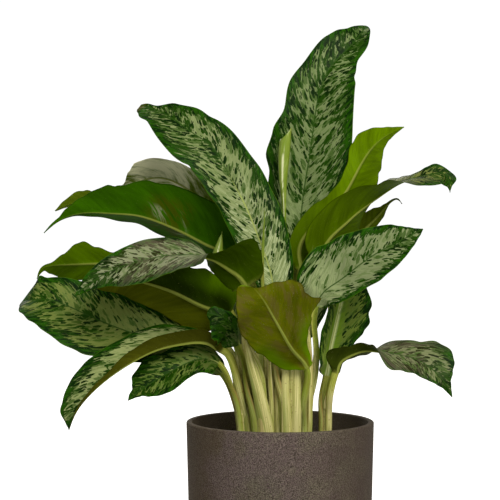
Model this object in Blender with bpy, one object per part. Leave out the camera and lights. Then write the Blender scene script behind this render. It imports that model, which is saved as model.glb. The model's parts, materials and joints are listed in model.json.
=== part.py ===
"""A potted Chinese evergreen: pot, soil, eight canes, their leaves and two rolled young leaves.

Lengths are in millimetres until a mesh is made, +Z is up, and the origin is the centre of the pot's underside.
The plant is seen from the front along +Y. Guide points of the leaves are (across, down, depth): across and down
are read off a square front view of 500 units, and depth is the distance behind the pot's axis in millimetres.
"""

import math

import bmesh
import bpy
import numpy as np
from mathutils import Vector

# Pot
POT_HEIGHT = 200.0
POT_RIM_RADIUS = 110.0
POT_FOOT_RADIUS = 105.0
POT_WALL = 7.0
POT_FLOOR = 9.0
POT_EDGE = 2.0
POT_SIDES = 48

# Soil
SOIL_TOP = 168.0
SOIL_MOUND = 4.0
SOIL_GAP = 0.35
SOIL_RINGS = (22.0, 52.0, 80.0)

# Canes
CANE_FOOT = 122.0
CANE_SIDES = 12
CANE_SCAR = 0.6
HOLE_GAP = 0.5
CANE_TOP_GAP = 0.6

# Leaves
BLADE_THICKNESS = 1.0
PETIOLE_HALF_WIDTH = 4.0
PETIOLE_DEPTH = 6.5
SHEATH_GAP = 0.6
SHEATH_THICKNESS = 3.6
SHEATH_EDGE = 1.2
SHEATH_ANGLE = math.radians(47)
SHEATH_FADE = 45.0
WING_HALF_WIDTH = 7.0
WING_FADE = 110.0
OUTLINE_POWER = 0.62
TIP_HALF_WIDTH = 0.8
BLADE_ROWS = (0.0, 0.035, 0.1, 0.19, 0.3, 0.41, 0.52, 0.63, 0.74, 0.84, 0.92, 0.97, 1.0)
STALK_ROWS = 5

# Front view of the guide points
VIEW_UNIT = 1.176
VIEW_MIDDLE = 250.0
POT_AXIS_ACROSS = 280.0
EYE_HEIGHT = 400.5
EYE_DISTANCE = 1620.0

GREEN = (0.10, 0.22, 0.05)
SILVER_GREEN = (0.32, 0.42, 0.27)
PALE_GREEN = (0.45, 0.52, 0.22)
POT_COLOUR = (0.075, 0.065, 0.058)
SOIL_COLOUR = (0.045, 0.028, 0.018)

# Each cane runs straight from its foot in the soil to its top: (x, y) at the foot, (x, y, z) at the top.
CANES = {
    "left_outer": dict(foot=(-37, -17), top=(-47, -19, 212), radius=3.2),
    "left": dict(foot=(-30, 0), top=(-47, -2, 262), radius=6.2),
    "front_left": dict(foot=(-14, -16), top=(-28, -19, 262), radius=7.6),
    "front_right": dict(foot=(12, -15), top=(12, -15, 284), radius=7.5),
    "back_left": dict(foot=(-8, 15), top=(-14, 22, 275), radius=7.0),
    "back_right": dict(foot=(17, 15), top=(21, 21, 284), radius=7.0),
    "right": dict(foot=(29, -7), top=(30, -8, 226), radius=4.0),
    "right_outer": dict(foot=(53.5, 0), top=(54, 0, 214), radius=4.2),
}

# face: the way the upper side looks, from the blade's base to its tip, at equal steps.
# start: height of the sheath's foot; side: its bearing round the cane in degrees, with 270 to the front.
LEAVES = {
    "leaf_tall_back": dict(
        cane="back_right", start=238, side=125,
        stalk=[(293, 305, 32)],
        rib=[(297, 262, 32), (304, 190, 33), (310, 153, 34), (317, 104, 36), (330, 68, 41),
            (347, 50, 49), (360, 35, 64), (366, 26, 88)],
        half_width=44, skew=0.88, tip=0.3, fold=14, wave=3,
        face=[(-0.1, -0.99, 0.1), (-0.1, -1, 0.2), (0, -0.9, 0.4), (0, -0.8, 0.6)]),
    "leaf_tall_left": dict(
        cane="front_right", start=196, side=195,
        stalk=[(279, 370, -16)],
        rib=[(275, 310, -10), (270, 270, -8), (262, 247, -7), (246, 207, -6), (227, 171, -4),
            (212, 147, 0), (194, 134, 6), (165, 114, 22), (141, 105, 40)],
        half_width=35, fold=12, wave=2,
        face=[(0.2, -1, 0.2), (0.2, -0.95, 0.3), (-0.1, -0.75, 0.7)]),
    "leaf_bright_right": dict(
        cane="back_right", start=200, side=300,
        stalk=[(303, 320, 4)],
        rib=[(299, 270, 2), (300, 245, 1), (318, 222, 3), (343, 196, 8), (356, 173, 13), (365, 157, 22),
            (384, 137, 44), (404, 127, 58)],
        half_width=32, fold=16, wave=2,
        face=[(-0.3, 0.9, 0.1), (-0.3, 0.9, 0.15), (-0.2, 0.9, 0.3)]),
    "leaf_twisted_right": dict(
        cane="right", start=198, side=345, hug=24,
        stalk=[(307, 345, -9), (308, 300, -10)],
        rib=[(318, 262, -10), (328, 240, -8), (343, 225, -5), (358.5, 211, 0), (370.5, 202, 5),
            (384, 192.5, 8), (402, 182, 8), (424, 176, 6), (444, 176, 6), (450, 191, 8)],
        half_width=32, skew=0.85, fold=12, wave=2,
        face=[(-0.3, 0.9, 0.2), (-0.4, 0.8, 0.4), (-0.4, 0.6, 0.7), (-0.1, -0.1, 1), (0, -0.6, 0.8),
            (0, -0.8, 0.6)]),
    "leaf_curled_right": dict(
        cane="back_right", start=250, side=25,
        stalk=[(312, 300, 30)],
        rib=[(330, 268, 37), (345, 250, 42), (362, 231, 46), (380, 213, 46), (390, 202, 44),
            (397, 199, 42), (402, 204, 40)],
        half_width=18, fold=14, wave=1,
        face=[(-0.3, 0.9, 0.4), (-0.3, 0.85, 0.5)]),
    "leaf_silver_right": dict(
        cane="right", start=188, side=90,
        stalk=[(311.5, 390, 2), (316, 345, -13)],
        rib=[(316, 306, -26), (324, 292, -29), (339, 281, -32), (355, 268.6, -36), (379, 252, -41),
            (408, 237, -45), (423, 229, -47)],
        half_width=37, skew=0.85, fold=24, wave=1.5,
        face=[(-0.3, -1, 0.35), (-0.25, -0.9, 0.36)]),
    "leaf_broad_front": dict(
        cane="right", start=178, side=250,
        stalk=[(304, 402, -20)],
        rib=[(306, 367, -30), (295, 353, -46), (283.6, 335.5, -66), (269.3, 310, -86), (260, 297, -96),
            (253, 290, -92), (246, 288, -74)],
        half_width=46, skew=1.05, tip=0.3, fold=8, wave=3,
        face=[(-0.3, 0.8, 0.45), (-0.32, 0.8, 0.49), (-0.32, 0.8, 0.5), (0.2, 0.2, 0.9)]),
    "leaf_twisted_left": dict(
        cane="front_left", start=222, side=292, hug=26,
        stalk=[(247, 345, -37), (248, 312, -46)],
        rib=[(247, 286, -52), (240, 277, -55), (228, 268, -59), (214, 259, -62), (196, 255, -65),
            (165, 256, -71), (130, 264, -80), (100, 277, -87), (75, 296, -93)],
        half_width=40, skew=0.62, fold=10, wave=2,
        face=[(0.2, 0.98, 0.1), (-0.2, 0.6, 0.8), (-0.1, -0.4, 0.9), (0.1, -0.7, 0.7), (0.1, -0.7, 0.7),
            (0.1, -0.7, 0.7)]),
    "leaf_long_left": dict(
        cane="front_left", start=198, side=85,
        stalk=[(260, 345, 2)],
        rib=[(248, 266, 10), (232, 254, 13), (213, 247, 16), (191, 236, 20), (159, 221.6, 25),
            (137, 215, 28), (112, 213, 28), (80, 213, 26), (58, 221, 20), (44, 233, 12)],
        half_width=51, skew=0.85, tip=-0.5, fold=32, wave=2,
        face=[(-0.1, 0.75, 0.65), (0, 0.75, 0.65), (0, 0.72, 0.69), (0, 0.72, 0.69)]),
    "leaf_arched_left": dict(
        cane="back_left", start=238, side=156,
        stalk=[(257.3, 320, 41)],
        rib=[(246, 262, 54), (222, 222, 64), (190, 190, 68), (160, 177, 68), (136, 182, 64),
            (108, 195, 58), (82, 202, 52), (66, 205, 48), (55, 211, 44)],
        half_width=27, skew=0.9, fold=14, wave=2, wing=5,
        face=[(0, 0.6, 0.8), (0, 0.5, 0.85), (0, 0.5, 0.85)]),
    "leaf_hooked_left": dict(
        cane="back_left", start=185, side=195,
        stalk=[(246, 350, 14), (225, 302, 22)],
        rib=[(196, 277, 26), (155, 266, 32), (112, 263, 34), (76, 264, 30), (56, 265, 24), (42, 269, 16),
            (37, 279, 11)],
        half_width=28, fold=12, wave=2,
        face=[(0, 0.85, 0.5), (0, 0.9, 0.4)]),
    "leaf_silver_left": dict(
        cane="left", start=200, side=150, hug=26,
        stalk=[(236, 368, 4), (224, 346, -2)],
        rib=[(205, 343, -10), (165, 340, -16), (139, 335, -22), (118, 328, -26), (96, 319, -28),
            (72, 308, -30), (48, 300, -30), (31, 300, -24), (22, 302, -8)],
        half_width=40, skew=1.15, tip=0.9, fold=12, wave=2,
        face=[(0.1, -0.85, 0.5), (0, -0.85, 0.5), (-0.2, -0.7, 0.7)]),
    "leaf_drooping_left": dict(
        cane="left", start=182, side=252,
        stalk=[(235, 368, -27), (228, 351, -36)],
        rib=[(215, 343.5, -48), (201, 341, -56), (183, 342.5, -66), (159, 348, -76), (135.5, 359, -84),
            (110, 376, -90), (88, 396, -92), (75, 414, -90), (69, 430, -86)],
        half_width=37, skew=1.2, fold=30, wave=1, wing=5,
        face=[(0, -0.25, 0.95), (-0.1, -0.35, 0.9), (-0.4, -0.6, 0.6)]),
    "leaf_small_left": dict(
        cane="left_outer", start=184, side=242,
        stalk=[(235, 392, -26), (228, 376, -31)],
        rib=[(219, 363, -37), (208, 359, -42), (190, 362, -50), (172, 371, -58), (155, 381, -64),
            (140, 391, -68), (128, 400.5, -70)],
        half_width=25, fold=10, wave=2,
        face=[(0.1, -0.75, 0.65), (0.1, -0.75, 0.65)]),
    "leaf_shaded_left": dict(
        cane="left_outer", start=190, side=140,
        stalk=[(229.5, 387, -14)],
        rib=[(221, 373, -5), (208, 364, 3), (190, 359, 9), (168, 354, 13), (150, 354, 15),
            (137, 361, 15)],
        half_width=22, fold=12, wave=1, wing=5,
        face=[(0.1, -0.7, 0.7), (0.1, -0.7, 0.7)]),
    "leaf_green_left": dict(
        cane="left", start=206, side=344,
        stalk=[(244, 366, -10), (237, 342, -17)],
        rib=[(228, 317, -21), (207, 308, -24), (180, 295, -30), (150, 284, -36), (122, 280, -39),
            (97, 288, -39)],
        half_width=32, skew=1.12, fold=12, wave=2, wing=4.5,
        face=[(0, 0.95, 0.25), (0, 0.95, 0.3)]),
    "leaf_dark_centre": dict(
        cane="front_left", start=188, side=192,
        stalk=[(247.5, 374, -24), (243, 348, -30)],
        rib=[(238, 332, -36), (231, 322, -42), (220, 316, -46), (207, 313, -46)],
        half_width=17, tip=0.6, fold=14, wave=1, wing=5,
        face=[(0.1, -0.6, 0.8), (0.1, -0.6, 0.8)]),
    "leaf_upright_right": dict(
        cane="right_outer", start=186, side=185,
        stalk=[(322, 404, 0)],
        rib=[(327, 376, 2), (329, 355, 2), (333, 335.5, 3), (340, 305, 5), (348, 275, 8), (354, 252, 12)],
        half_width=35, skew=1.1, fold=31, wave=2,
        face=[(0.54, -0.84, 0.1), (0.54, -0.84, 0.1)]),
    "leaf_low_right": dict(
        cane="right_outer", start=192, side=310,
        stalk=[(329, 398, -10)],
        rib=[(335, 372, -14), (341, 361, -16), (352, 354, -18), (364, 350, -20), (385, 352, -24),
            (405, 356, -29), (423, 363, -34), (437, 374, -38), (447, 387, -40), (452, 397, -40)],
        half_width=25, tip=0.4, fold=10, wave=2,
        face=[(-0.3, 0.8, 0.5), (-0.2, 0.5, 0.8), (0, -0.5, 0.85), (0.1, -0.75, 0.65),
            (0.2, -0.75, 0.55)]),
    "leaf_back_left": dict(
        cane="back_left", start=229, side=58,
        stalk=[(265, 345, 57)],
        rib=[(251, 300, 68), (241, 265, 88), (233, 236, 116), (227, 225, 152), (223, 235, 190),
            (219, 255, 214)],
        half_width=38, fold=14, wave=3, wing=5,
        face=[(0.1, -0.6, 0.8), (0.1, -0.1, 1), (0, 0.4, 0.9)]),
    "leaf_back_right": dict(
        cane="right_outer", start=190, side=75,
        stalk=[(326, 396, 14), (329, 350, 40)],
        rib=[(331, 300, 64), (336, 262, 84), (343, 238, 108), (349, 230, 138), (353, 238, 168),
            (355, 258, 190)],
        half_width=38, fold=14, wave=3,
        face=[(-0.2, -0.6, 0.8), (-0.1, -0.1, 1), (0, 0.4, 0.9)]),
    "leaf_back_upright": dict(
        cane="back_left", start=256, side=358,
        stalk=[(274.5, 315, 49)],
        rib=[(279, 270, 66), (281, 232, 86), (283, 202, 110), (285, 186, 144), (287, 190, 178),
            (289, 206, 204)],
        half_width=38, fold=14, wave=3,
        face=[(0, -0.7, 0.7), (0, -0.1, 1), (0, 0.4, 0.9)]),
    "leaf_back_low_left": dict(
        cane="back_left", start=188, side=98,
        stalk=[(255, 382, 42)],
        rib=[(240, 335, 60), (222, 306, 84), (203, 293, 116), (184, 296, 150), (169, 312, 176),
            (160, 330, 190)],
        half_width=35, fold=14, wave=3,
        face=[(0.3, -0.4, 0.85), (0.1, 0.1, 1), (-0.3, 0.4, 0.85)]),
    "leaf_back_low_right": dict(
        cane="back_right", start=186, side=70,
        stalk=[(300, 388, 44)],
        rib=[(303, 340, 68), (311, 308, 96), (323, 292, 126), (338, 288, 158), (350, 294, 186),
            (358, 308, 206)],
        half_width=34, fold=14, wave=3,
        face=[(-0.3, -0.4, 0.85), (-0.1, 0.1, 1), (0.3, 0.4, 0.85)]),
    "leaf_back_low": dict(
        cane="front_right", start=214, side=90,
        stalk=[(285, 365, 8), (283, 335, 40)],
        rib=[(279, 308, 68), (277, 292, 98), (276, 287, 130), (273, 296, 166), (271, 314, 194),
            (270, 336, 210)],
        half_width=33, fold=14, wave=3,
        face=[(0, -0.5, 0.85), (0, 0.1, 1), (0, 0.5, 0.8)]),
}


YOUNG_LEAVES = {
    "young_leaf_tall": dict(
        cane="back_left",
        path=[(279, 300, 10), (283.5, 245, 11), (284, 200, 12), (284.5, 160, 12), (288, 138, 11),
            (293, 127, 10)],
        half_width=5.2),
    "young_leaf_short": dict(
        cane="left",
        path=[(232, 330, 4), (223.5, 285, 1), (218, 260, -1), (219, 246, -2), (222.5, 232, -3)],
        half_width=3.6),
}



def seen_at(across, down, depth):
    """The point, in millimetres, that the front view shows at (across, down) when it lies at that depth."""
    growth = VIEW_UNIT * (1 + depth / EYE_DISTANCE)
    eye_x = (VIEW_MIDDLE - POT_AXIS_ACROSS) * VIEW_UNIT
    return np.array([eye_x + (across - VIEW_MIDDLE) * growth, depth, EYE_HEIGHT - (down - VIEW_MIDDLE) * growth])


def unit(vector):
    return vector / np.linalg.norm(vector)


def smoothstep(value):
    value = np.clip(value, 0, 1)
    return value * value * (3 - 2 * value)


def smooth_path(points, start_direction, steps=30):
    """A cubic spline through the points that sets out in start_direction: dense points, and each guide's index."""
    points = np.array(points, float)
    knots = np.concatenate([[0], np.cumsum(np.linalg.norm(np.diff(points, axis=0), axis=1))])
    gaps = np.diff(knots)
    count = len(points)
    system = np.zeros((count, count))
    target = np.zeros((count, 3))
    system[0, :2] = 2 * gaps[0], gaps[0]
    target[0] = 6 * ((points[1] - points[0]) / gaps[0] - start_direction)
    system[-1, -1] = 1
    for i in range(1, count - 1):
        system[i, i - 1 : i + 2] = gaps[i - 1], 2 * (gaps[i - 1] + gaps[i]), gaps[i]
        target[i] = 6 * ((points[i + 1] - points[i]) / gaps[i] - (points[i] - points[i - 1]) / gaps[i - 1])
    bend = np.linalg.solve(system, target)
    dense = []
    for i, gap in enumerate(gaps):
        for step in range(steps):
            a, b = 1 - step / steps, step / steps
            cubic = ((a**3 - a) * bend[i] + (b**3 - b) * bend[i + 1]) * gap * gap / 6
            dense.append(a * points[i] + b * points[i + 1] + cubic)
    dense.append(points[-1])
    return np.array(dense), [i * steps for i in range(count)]


def cane_line(cane):
    """A point on the cane's axis at the foot, and its direction scaled to one millimetre of height."""
    foot = np.array([*cane["foot"], CANE_FOOT], float)
    top = np.array(cane["top"], float)
    return foot, (top - foot) / (top[2] - foot[2])


def blade_outline(share, skew, tip):
    """Half-width of the blade, as a share of its widest; tip over 0 fills out its end, and under 0 draws it out."""
    share = min(max(share, 0.0), 1.0)
    tapering = math.sin(math.pi * share ** (0.75 * skew)) ** OUTLINE_POWER
    rounded = math.sqrt(max(0.0, 1 - share**4)) * min(1.0, tapering + share) if tip > 0 else 0
    return tapering + (rounded - tapering) * abs(tip) * smoothstep((share - 0.45) / 0.4)


def facing_at(share, faces, stalk_face):
    """The way the upper side looks at a share of the blade's length; below the blade it turns from the cane."""
    faces = [unit(np.array(face, float)) for face in faces]
    if share < 0:
        turn = smoothstep(1 + share)
        return unit(stalk_face * (1 - turn) + faces[0] * turn)
    place = share * (len(faces) - 1)
    first = min(int(place), len(faces) - 2)
    turn = place - first
    return unit(faces[first] * (1 - turn) + faces[first + 1] * turn)


def leaf_rows(leaf):
    """For each cross-section of a leaf: place, direction, facing, share along the blade, sheath and wing shares."""
    cane = CANES[leaf["cane"]]
    foot, rise = cane_line(cane)
    along = unit(rise)
    bearing = math.radians(leaf["side"])
    outward = np.array([math.cos(bearing), math.sin(bearing), 0])
    outward = unit(outward - outward.dot(along) * along)
    reach = cane["radius"] + SHEATH_GAP
    start = foot + rise * (leaf["start"] - CANE_FOOT) + outward * reach
    hug_end = start + along * leaf.get("hug", 14)
    guides = [hug_end] + [seen_at(*p) for p in leaf["stalk"]] + [seen_at(*p) for p in leaf["rib"]]
    dense, guide_index = smooth_path(guides, along)
    travel = np.concatenate([[0], np.cumsum(np.linalg.norm(np.diff(dense, axis=0), axis=1))])
    base_travel = travel[guide_index[1 + len(leaf["stalk"])]]
    blade_length = travel[-1] - base_travel
    stalk_stops = np.linspace(0, base_travel, STALK_ROWS + 1)[:-1]
    stops = np.concatenate([stalk_stops, base_travel + blade_length * np.array(BLADE_ROWS)])
    slopes = np.gradient(dense, travel, axis=0)
    rows = [(start, along, -outward, -1.0, 1.0, 1.0)]
    for stop in stops:
        place = np.array([np.interp(stop, travel, dense[:, k]) for k in range(3)])
        direction = unit(np.array([np.interp(stop, travel, slopes[:, k]) for k in range(3)]))
        share = (stop - base_travel) / (blade_length if stop >= base_travel else base_travel)
        facing = facing_at(share, leaf["face"], -outward)
        facing = unit(facing - facing.dot(direction) * direction)
        sheath = 1 - smoothstep(stop / SHEATH_FADE)
        wing = 1 - smoothstep(stop / WING_FADE)
        rows.append((place, direction, facing, share, float(sheath), float(wing)))
    return rows, blade_length


def sheath_section(across, radius):
    """The crescent that hugs a cane: inner and outer points (x, height towards the cane)."""
    angle = across * SHEATH_ANGLE
    inner_radius = radius + SHEATH_GAP
    outer_radius = inner_radius + SHEATH_EDGE + (SHEATH_THICKNESS * min(1, radius / 6)) * (1 - across**2)
    inner = (inner_radius * math.sin(angle), inner_radius * (1 - math.cos(angle)))
    outer = (outer_radius * math.sin(angle), inner_radius - outer_radius * math.cos(angle))
    return inner, outer


def leaf_section(leaf, share, sheath, wing):
    """Upper and lower points of one cross-section, from the left margin to the right, as (x, height)."""
    radius = CANES[leaf["cane"]]["radius"]
    blade = smoothstep(share / 0.1)
    slim = min(1.0, radius / 5)
    petiole = PETIOLE_HALF_WIDTH * slim
    petiole += (leaf.get("wing", WING_HALF_WIDTH) * min(1.0, radius / 6) - petiole) * wing
    outline = blade_outline(share, leaf.get("skew", 1.0), leaf.get("tip", 0.0))
    half_width = max(leaf["half_width"] * outline, petiole * (1 - max(share, 0) ** 0.5), TIP_HALF_WIDTH)
    rib = min(half_width / 3, PETIOLE_HALF_WIDTH * slim * (1 - 0.8 * max(share, 0)))
    keel = PETIOLE_DEPTH * slim * (1 - 0.45 * blade) * (1 - max(share, 0)) ** 0.8
    middle = half_width * (0.667 - 0.1 * blade)
    upper, lower = [], []
    for distance in (-half_width, -middle, -rib, 0, rib, middle, half_width):
        across = distance / half_width
        tilt = math.radians(leaf["fold"]) * (1.1 - 0.2 * abs(across)) * blade
        x = distance * math.cos(tilt)
        side = 0 if distance < 0 else 1.3
        ripple = leaf["wave"] * across**2 * math.sin(2 * math.pi * (2.6 * share + 0.5 * side)) * math.sin(math.pi * max(share, 0))
        height = abs(distance) * math.sin(tilt) + ripple
        roundness = math.sqrt(max(0, 1 - across**2)) * (1 - blade) + math.exp(-((distance / rib) ** 2)) * blade
        top = (x, height + BLADE_THICKNESS / 2)
        bottom = (x, height - BLADE_THICKNESS / 2 - keel * roundness)
        inner, outer = sheath_section(across, radius)
        upper.append(tuple(a * (1 - sheath) + b * sheath for a, b in zip(top, inner)))
        lower.append(tuple(a * (1 - sheath) + b * sheath for a, b in zip(bottom, outer)))
    return upper, lower


def loft_mesh(name, rings):
    """A closed mesh from rings of upper and lower points; both faces are split along the same diagonals."""
    bm = bmesh.new()
    made = [[[bm.verts.new(Vector(p) * 0.001) for p in side] for side in ring] for ring in rings]
    width = len(rings[0][0])
    for near, far in zip(made, made[1:]):
        for side in (0, 1):
            for j in range(width - 1):
                a, b, c, d = near[side][j], near[side][j + 1], far[side][j + 1], far[side][j]
                for corners in ((a, b, c), (a, c, d)):
                    bm.faces.new(corners if side == 0 else corners[::-1])
        for j in (0, width - 1):
            bm.faces.new((near[0][j], near[1][j], far[1][j], far[0][j]))
    for ring in (made[0], made[-1]):
        for j in range(width - 1):
            bm.faces.new((ring[0][j], ring[0][j + 1], ring[1][j + 1], ring[1][j]))
    bmesh.ops.recalc_face_normals(bm, faces=bm.faces)
    mesh = bpy.data.meshes.new(name)
    bm.to_mesh(mesh)
    bm.free()
    return mesh


def material(name, colour, roughness):
    """A plain Principled finish."""
    made = bpy.data.materials.get(name) or bpy.data.materials.new(name)
    made.use_nodes = True
    shader = made.node_tree.nodes["Principled BSDF"]
    shader.inputs["Base Color"].default_value = (*colour, 1)
    shader.inputs["Roughness"].default_value = roughness
    made.diffuse_color = (*colour, 1)
    return made


def add_object(name, mesh, finish, smooth_angle=50):
    """A named object with its own finish, shaded smooth up to that edge angle."""
    obj = bpy.data.objects.new(name, mesh)
    bpy.context.scene.collection.objects.link(obj)
    mesh.materials.append(finish)
    mesh.shade_smooth()
    mesh.set_sharp_from_angle(angle=math.radians(smooth_angle))
    return obj


def turned_mesh(name, profile, sides):
    """A closed solid turned round Z from (radius, height) points whose two ends lie on the axis."""
    bm = bmesh.new()
    verts = [bm.verts.new((r * 0.001, 0, z * 0.001)) for r, z in profile]
    edges = [bm.edges.new(pair) for pair in zip(verts, verts[1:])]
    bmesh.ops.spin(bm, geom=verts + edges, cent=(0, 0, 0), axis=(0, 0, 1), angle=2 * math.pi, steps=sides, use_merge=True)
    bmesh.ops.remove_doubles(bm, verts=bm.verts, dist=1e-5)
    bmesh.ops.recalc_face_normals(bm, faces=bm.faces)
    mesh = bpy.data.meshes.new(name)
    bm.to_mesh(mesh)
    bm.free()
    return mesh


def inner_radius(height):
    """The pot's inside radius at a height."""
    outer = POT_FOOT_RADIUS + (POT_RIM_RADIUS - POT_FOOT_RADIUS) * height / POT_HEIGHT
    return outer - POT_WALL


def make_pot():
    edge = POT_EDGE
    profile = [
        (0, 0),
        (POT_FOOT_RADIUS - edge, 0),
        (POT_FOOT_RADIUS, edge),
        (POT_RIM_RADIUS, POT_HEIGHT - edge),
        (POT_RIM_RADIUS - edge * 0.4, POT_HEIGHT - edge * 0.4),
        (POT_RIM_RADIUS - edge, POT_HEIGHT),
        (POT_RIM_RADIUS - POT_WALL + edge, POT_HEIGHT),
        (POT_RIM_RADIUS - POT_WALL, POT_HEIGHT - edge),
        (inner_radius(POT_FLOOR), POT_FLOOR),
        (0, POT_FLOOR),
    ]
    mesh = turned_mesh("pot", profile, POT_SIDES)
    add_object("pot", mesh, material("pot_stone", POT_COLOUR, 0.85), 40)


def cane_solid(name, cane, grow, foot_drop=0.0):
    """A straight cane with raised leaf scars, or, with grow, the plain hole that it stands in."""
    foot, rise = cane_line(cane)
    length = cane["top"][2] - CANE_FOOT
    if grow:
        stations = [(-foot_drop, cane["radius"] + grow), (length, cane["radius"] + grow)]
    else:
        stations = [(0, cane["radius"] * 0.7), (6, cane["radius"])]
        stations += [(length - 3, cane["radius"]), (length, cane["radius"] * 0.55)]
    bm = bmesh.new()
    rings = []
    for height, radius in stations:
        centre = foot + rise * height
        ring = []
        for i in range(CANE_SIDES):
            angle = 2 * math.pi * i / CANE_SIDES
            around = np.array([math.cos(angle), math.sin(angle), 0]) * radius
            ring.append(bm.verts.new(Vector(centre + around) * 0.001))
        rings.append(ring)
    for near, far in zip(rings, rings[1:]):
        for i in range(CANE_SIDES):
            j = (i + 1) % CANE_SIDES
            bm.faces.new((near[i], near[j], far[j], far[i]))
    bm.faces.new(rings[0][::-1])
    bm.faces.new(rings[-1])
    bmesh.ops.recalc_face_normals(bm, faces=bm.faces)
    mesh = bpy.data.meshes.new(name)
    bm.to_mesh(mesh)
    bm.free()
    return mesh


def make_canes():
    finish = material("cane_skin", PALE_GREEN, 0.5)
    for name, cane in CANES.items():
        add_object("cane_" + name, cane_solid("cane_" + name, cane, 0), finish)


def make_soil():
    """Soil that fills the pot to below its rim, with a plain hole for each cane."""
    top_radius = inner_radius(SOIL_TOP) - SOIL_GAP
    floor = POT_FLOOR + SOIL_GAP
    bm = bmesh.new()
    rings = [(inner_radius(floor) - SOIL_GAP, None), (top_radius, 0.0)]
    rings += [(radius, 1.0) for radius in reversed(SOIL_RINGS)]
    made = []
    for radius, bump in rings:
        ring = []
        for i in range(POT_SIDES):
            angle = 2 * math.pi * i / POT_SIDES
            height = floor
            if bump is not None:
                mound = SOIL_MOUND * (1 - (radius / top_radius) ** 2)
                lumps = math.sin(5 * angle + radius) + math.sin(3 * angle - radius / 7)
                height = SOIL_TOP + mound + bump * lumps
            ring.append(bm.verts.new(Vector((radius * math.cos(angle), radius * math.sin(angle), height)) * 0.001))
        made.append(ring)
    for near, far in zip(made, made[1:]):
        for i in range(POT_SIDES):
            j = (i + 1) % POT_SIDES
            bm.faces.new((near[i], near[j], far[j], far[i]))
    bm.faces.new(made[0][::-1])
    middle = bm.verts.new(Vector((0, 0, SOIL_TOP + SOIL_MOUND)) * 0.001)
    for i in range(POT_SIDES):
        bm.faces.new((made[-1][i], made[-1][(i + 1) % POT_SIDES], middle))
    bmesh.ops.recalc_face_normals(bm, faces=bm.faces)
    mesh = bpy.data.meshes.new("soil")
    bm.to_mesh(mesh)
    bm.free()
    soil = add_object("soil", mesh, material("soil_dark", SOIL_COLOUR, 0.95), 30)
    for name, cane in CANES.items():
        cutter = bpy.data.objects.new("hole_" + name, cane_solid("hole_" + name, cane, HOLE_GAP, HOLE_GAP))
        bpy.context.scene.collection.objects.link(cutter)
        cutter.hide_render = True
        cutter.display_type = "WIRE"
        cut = soil.modifiers.new("hole_" + name, "BOOLEAN")
        cut.operation = "DIFFERENCE"
        cut.object = cutter


def make_leaf(name, leaf, finish):
    rows, _ = leaf_rows(leaf)
    rings = []
    for place, direction, facing, share, sheath, wing in rows:
        across = np.cross(direction, facing)
        upper, lower = leaf_section(leaf, share, sheath, wing)
        rings.append([[place + across * x + facing * h for x, h in side] for side in (upper, lower)])
    add_object(name, loft_mesh(name, rings), finish)


def make_young_leaf(name, young, finish):
    """A leaf still rolled into a slim spindle with a drawn-out tip."""
    foot, rise = cane_line(CANES[young["cane"]])
    start = np.array(CANES[young["cane"]]["top"], float) + np.array([0, 0, CANE_TOP_GAP])
    dense, _ = smooth_path([start] + [seen_at(*p) for p in young["path"]], unit(rise))
    travel = np.concatenate([[0], np.cumsum(np.linalg.norm(np.diff(dense, axis=0), axis=1))])
    slopes = np.gradient(dense, travel, axis=0)
    rings = []
    for share in (0, 0.15, 0.35, 0.55, 0.7, 0.8, 0.88, 0.94, 1.0):
        stop = share * travel[-1]
        place = np.array([np.interp(stop, travel, dense[:, k]) for k in range(3)])
        direction = unit(np.array([np.interp(stop, travel, slopes[:, k]) for k in range(3)]))
        facing = np.array([0, -1.0, 0])
        facing = unit(facing - facing.dot(direction) * direction)
        across = np.cross(direction, facing)
        swell = 0.55 + 0.45 * smoothstep((share - 0.3) / 0.45)
        taper = math.sqrt(max(0.0, 1 - smoothstep((share - 0.72) / 0.28)))
        radius = max(young["half_width"] * swell * taper, 0.6)
        angles = [math.pi * j / 6 for j in range(7)]
        upper = [place + radius * (0.9 * facing * (math.sin(a) + 0.12) - across * math.cos(a)) for a in angles]
        lower = [place + radius * (-0.9 * facing * (math.sin(a) + 0.12) - across * math.cos(a)) for a in angles]
        rings.append([upper, lower])
    add_object(name, loft_mesh(name, rings), finish)


def clear_scene():
    for obj in list(bpy.data.objects):
        bpy.data.objects.remove(obj)


def main():
    clear_scene()
    make_pot()
    make_soil()
    make_canes()
    leaf_finish = material("leaf_variegated", SILVER_GREEN, 0.4)
    for name, leaf in LEAVES.items():
        make_leaf(name, leaf, leaf_finish)
    young_finish = material("leaf_young", PALE_GREEN, 0.4)
    for name, young in YOUNG_LEAVES.items():
        make_young_leaf(name, young, young_finish)


main()
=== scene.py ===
# Potted chinese evergreen: the finished look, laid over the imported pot, soil, canes and leaves.
# Metres, +Z up. The plant is seen from the front, along +Y.
import json
import math

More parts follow.
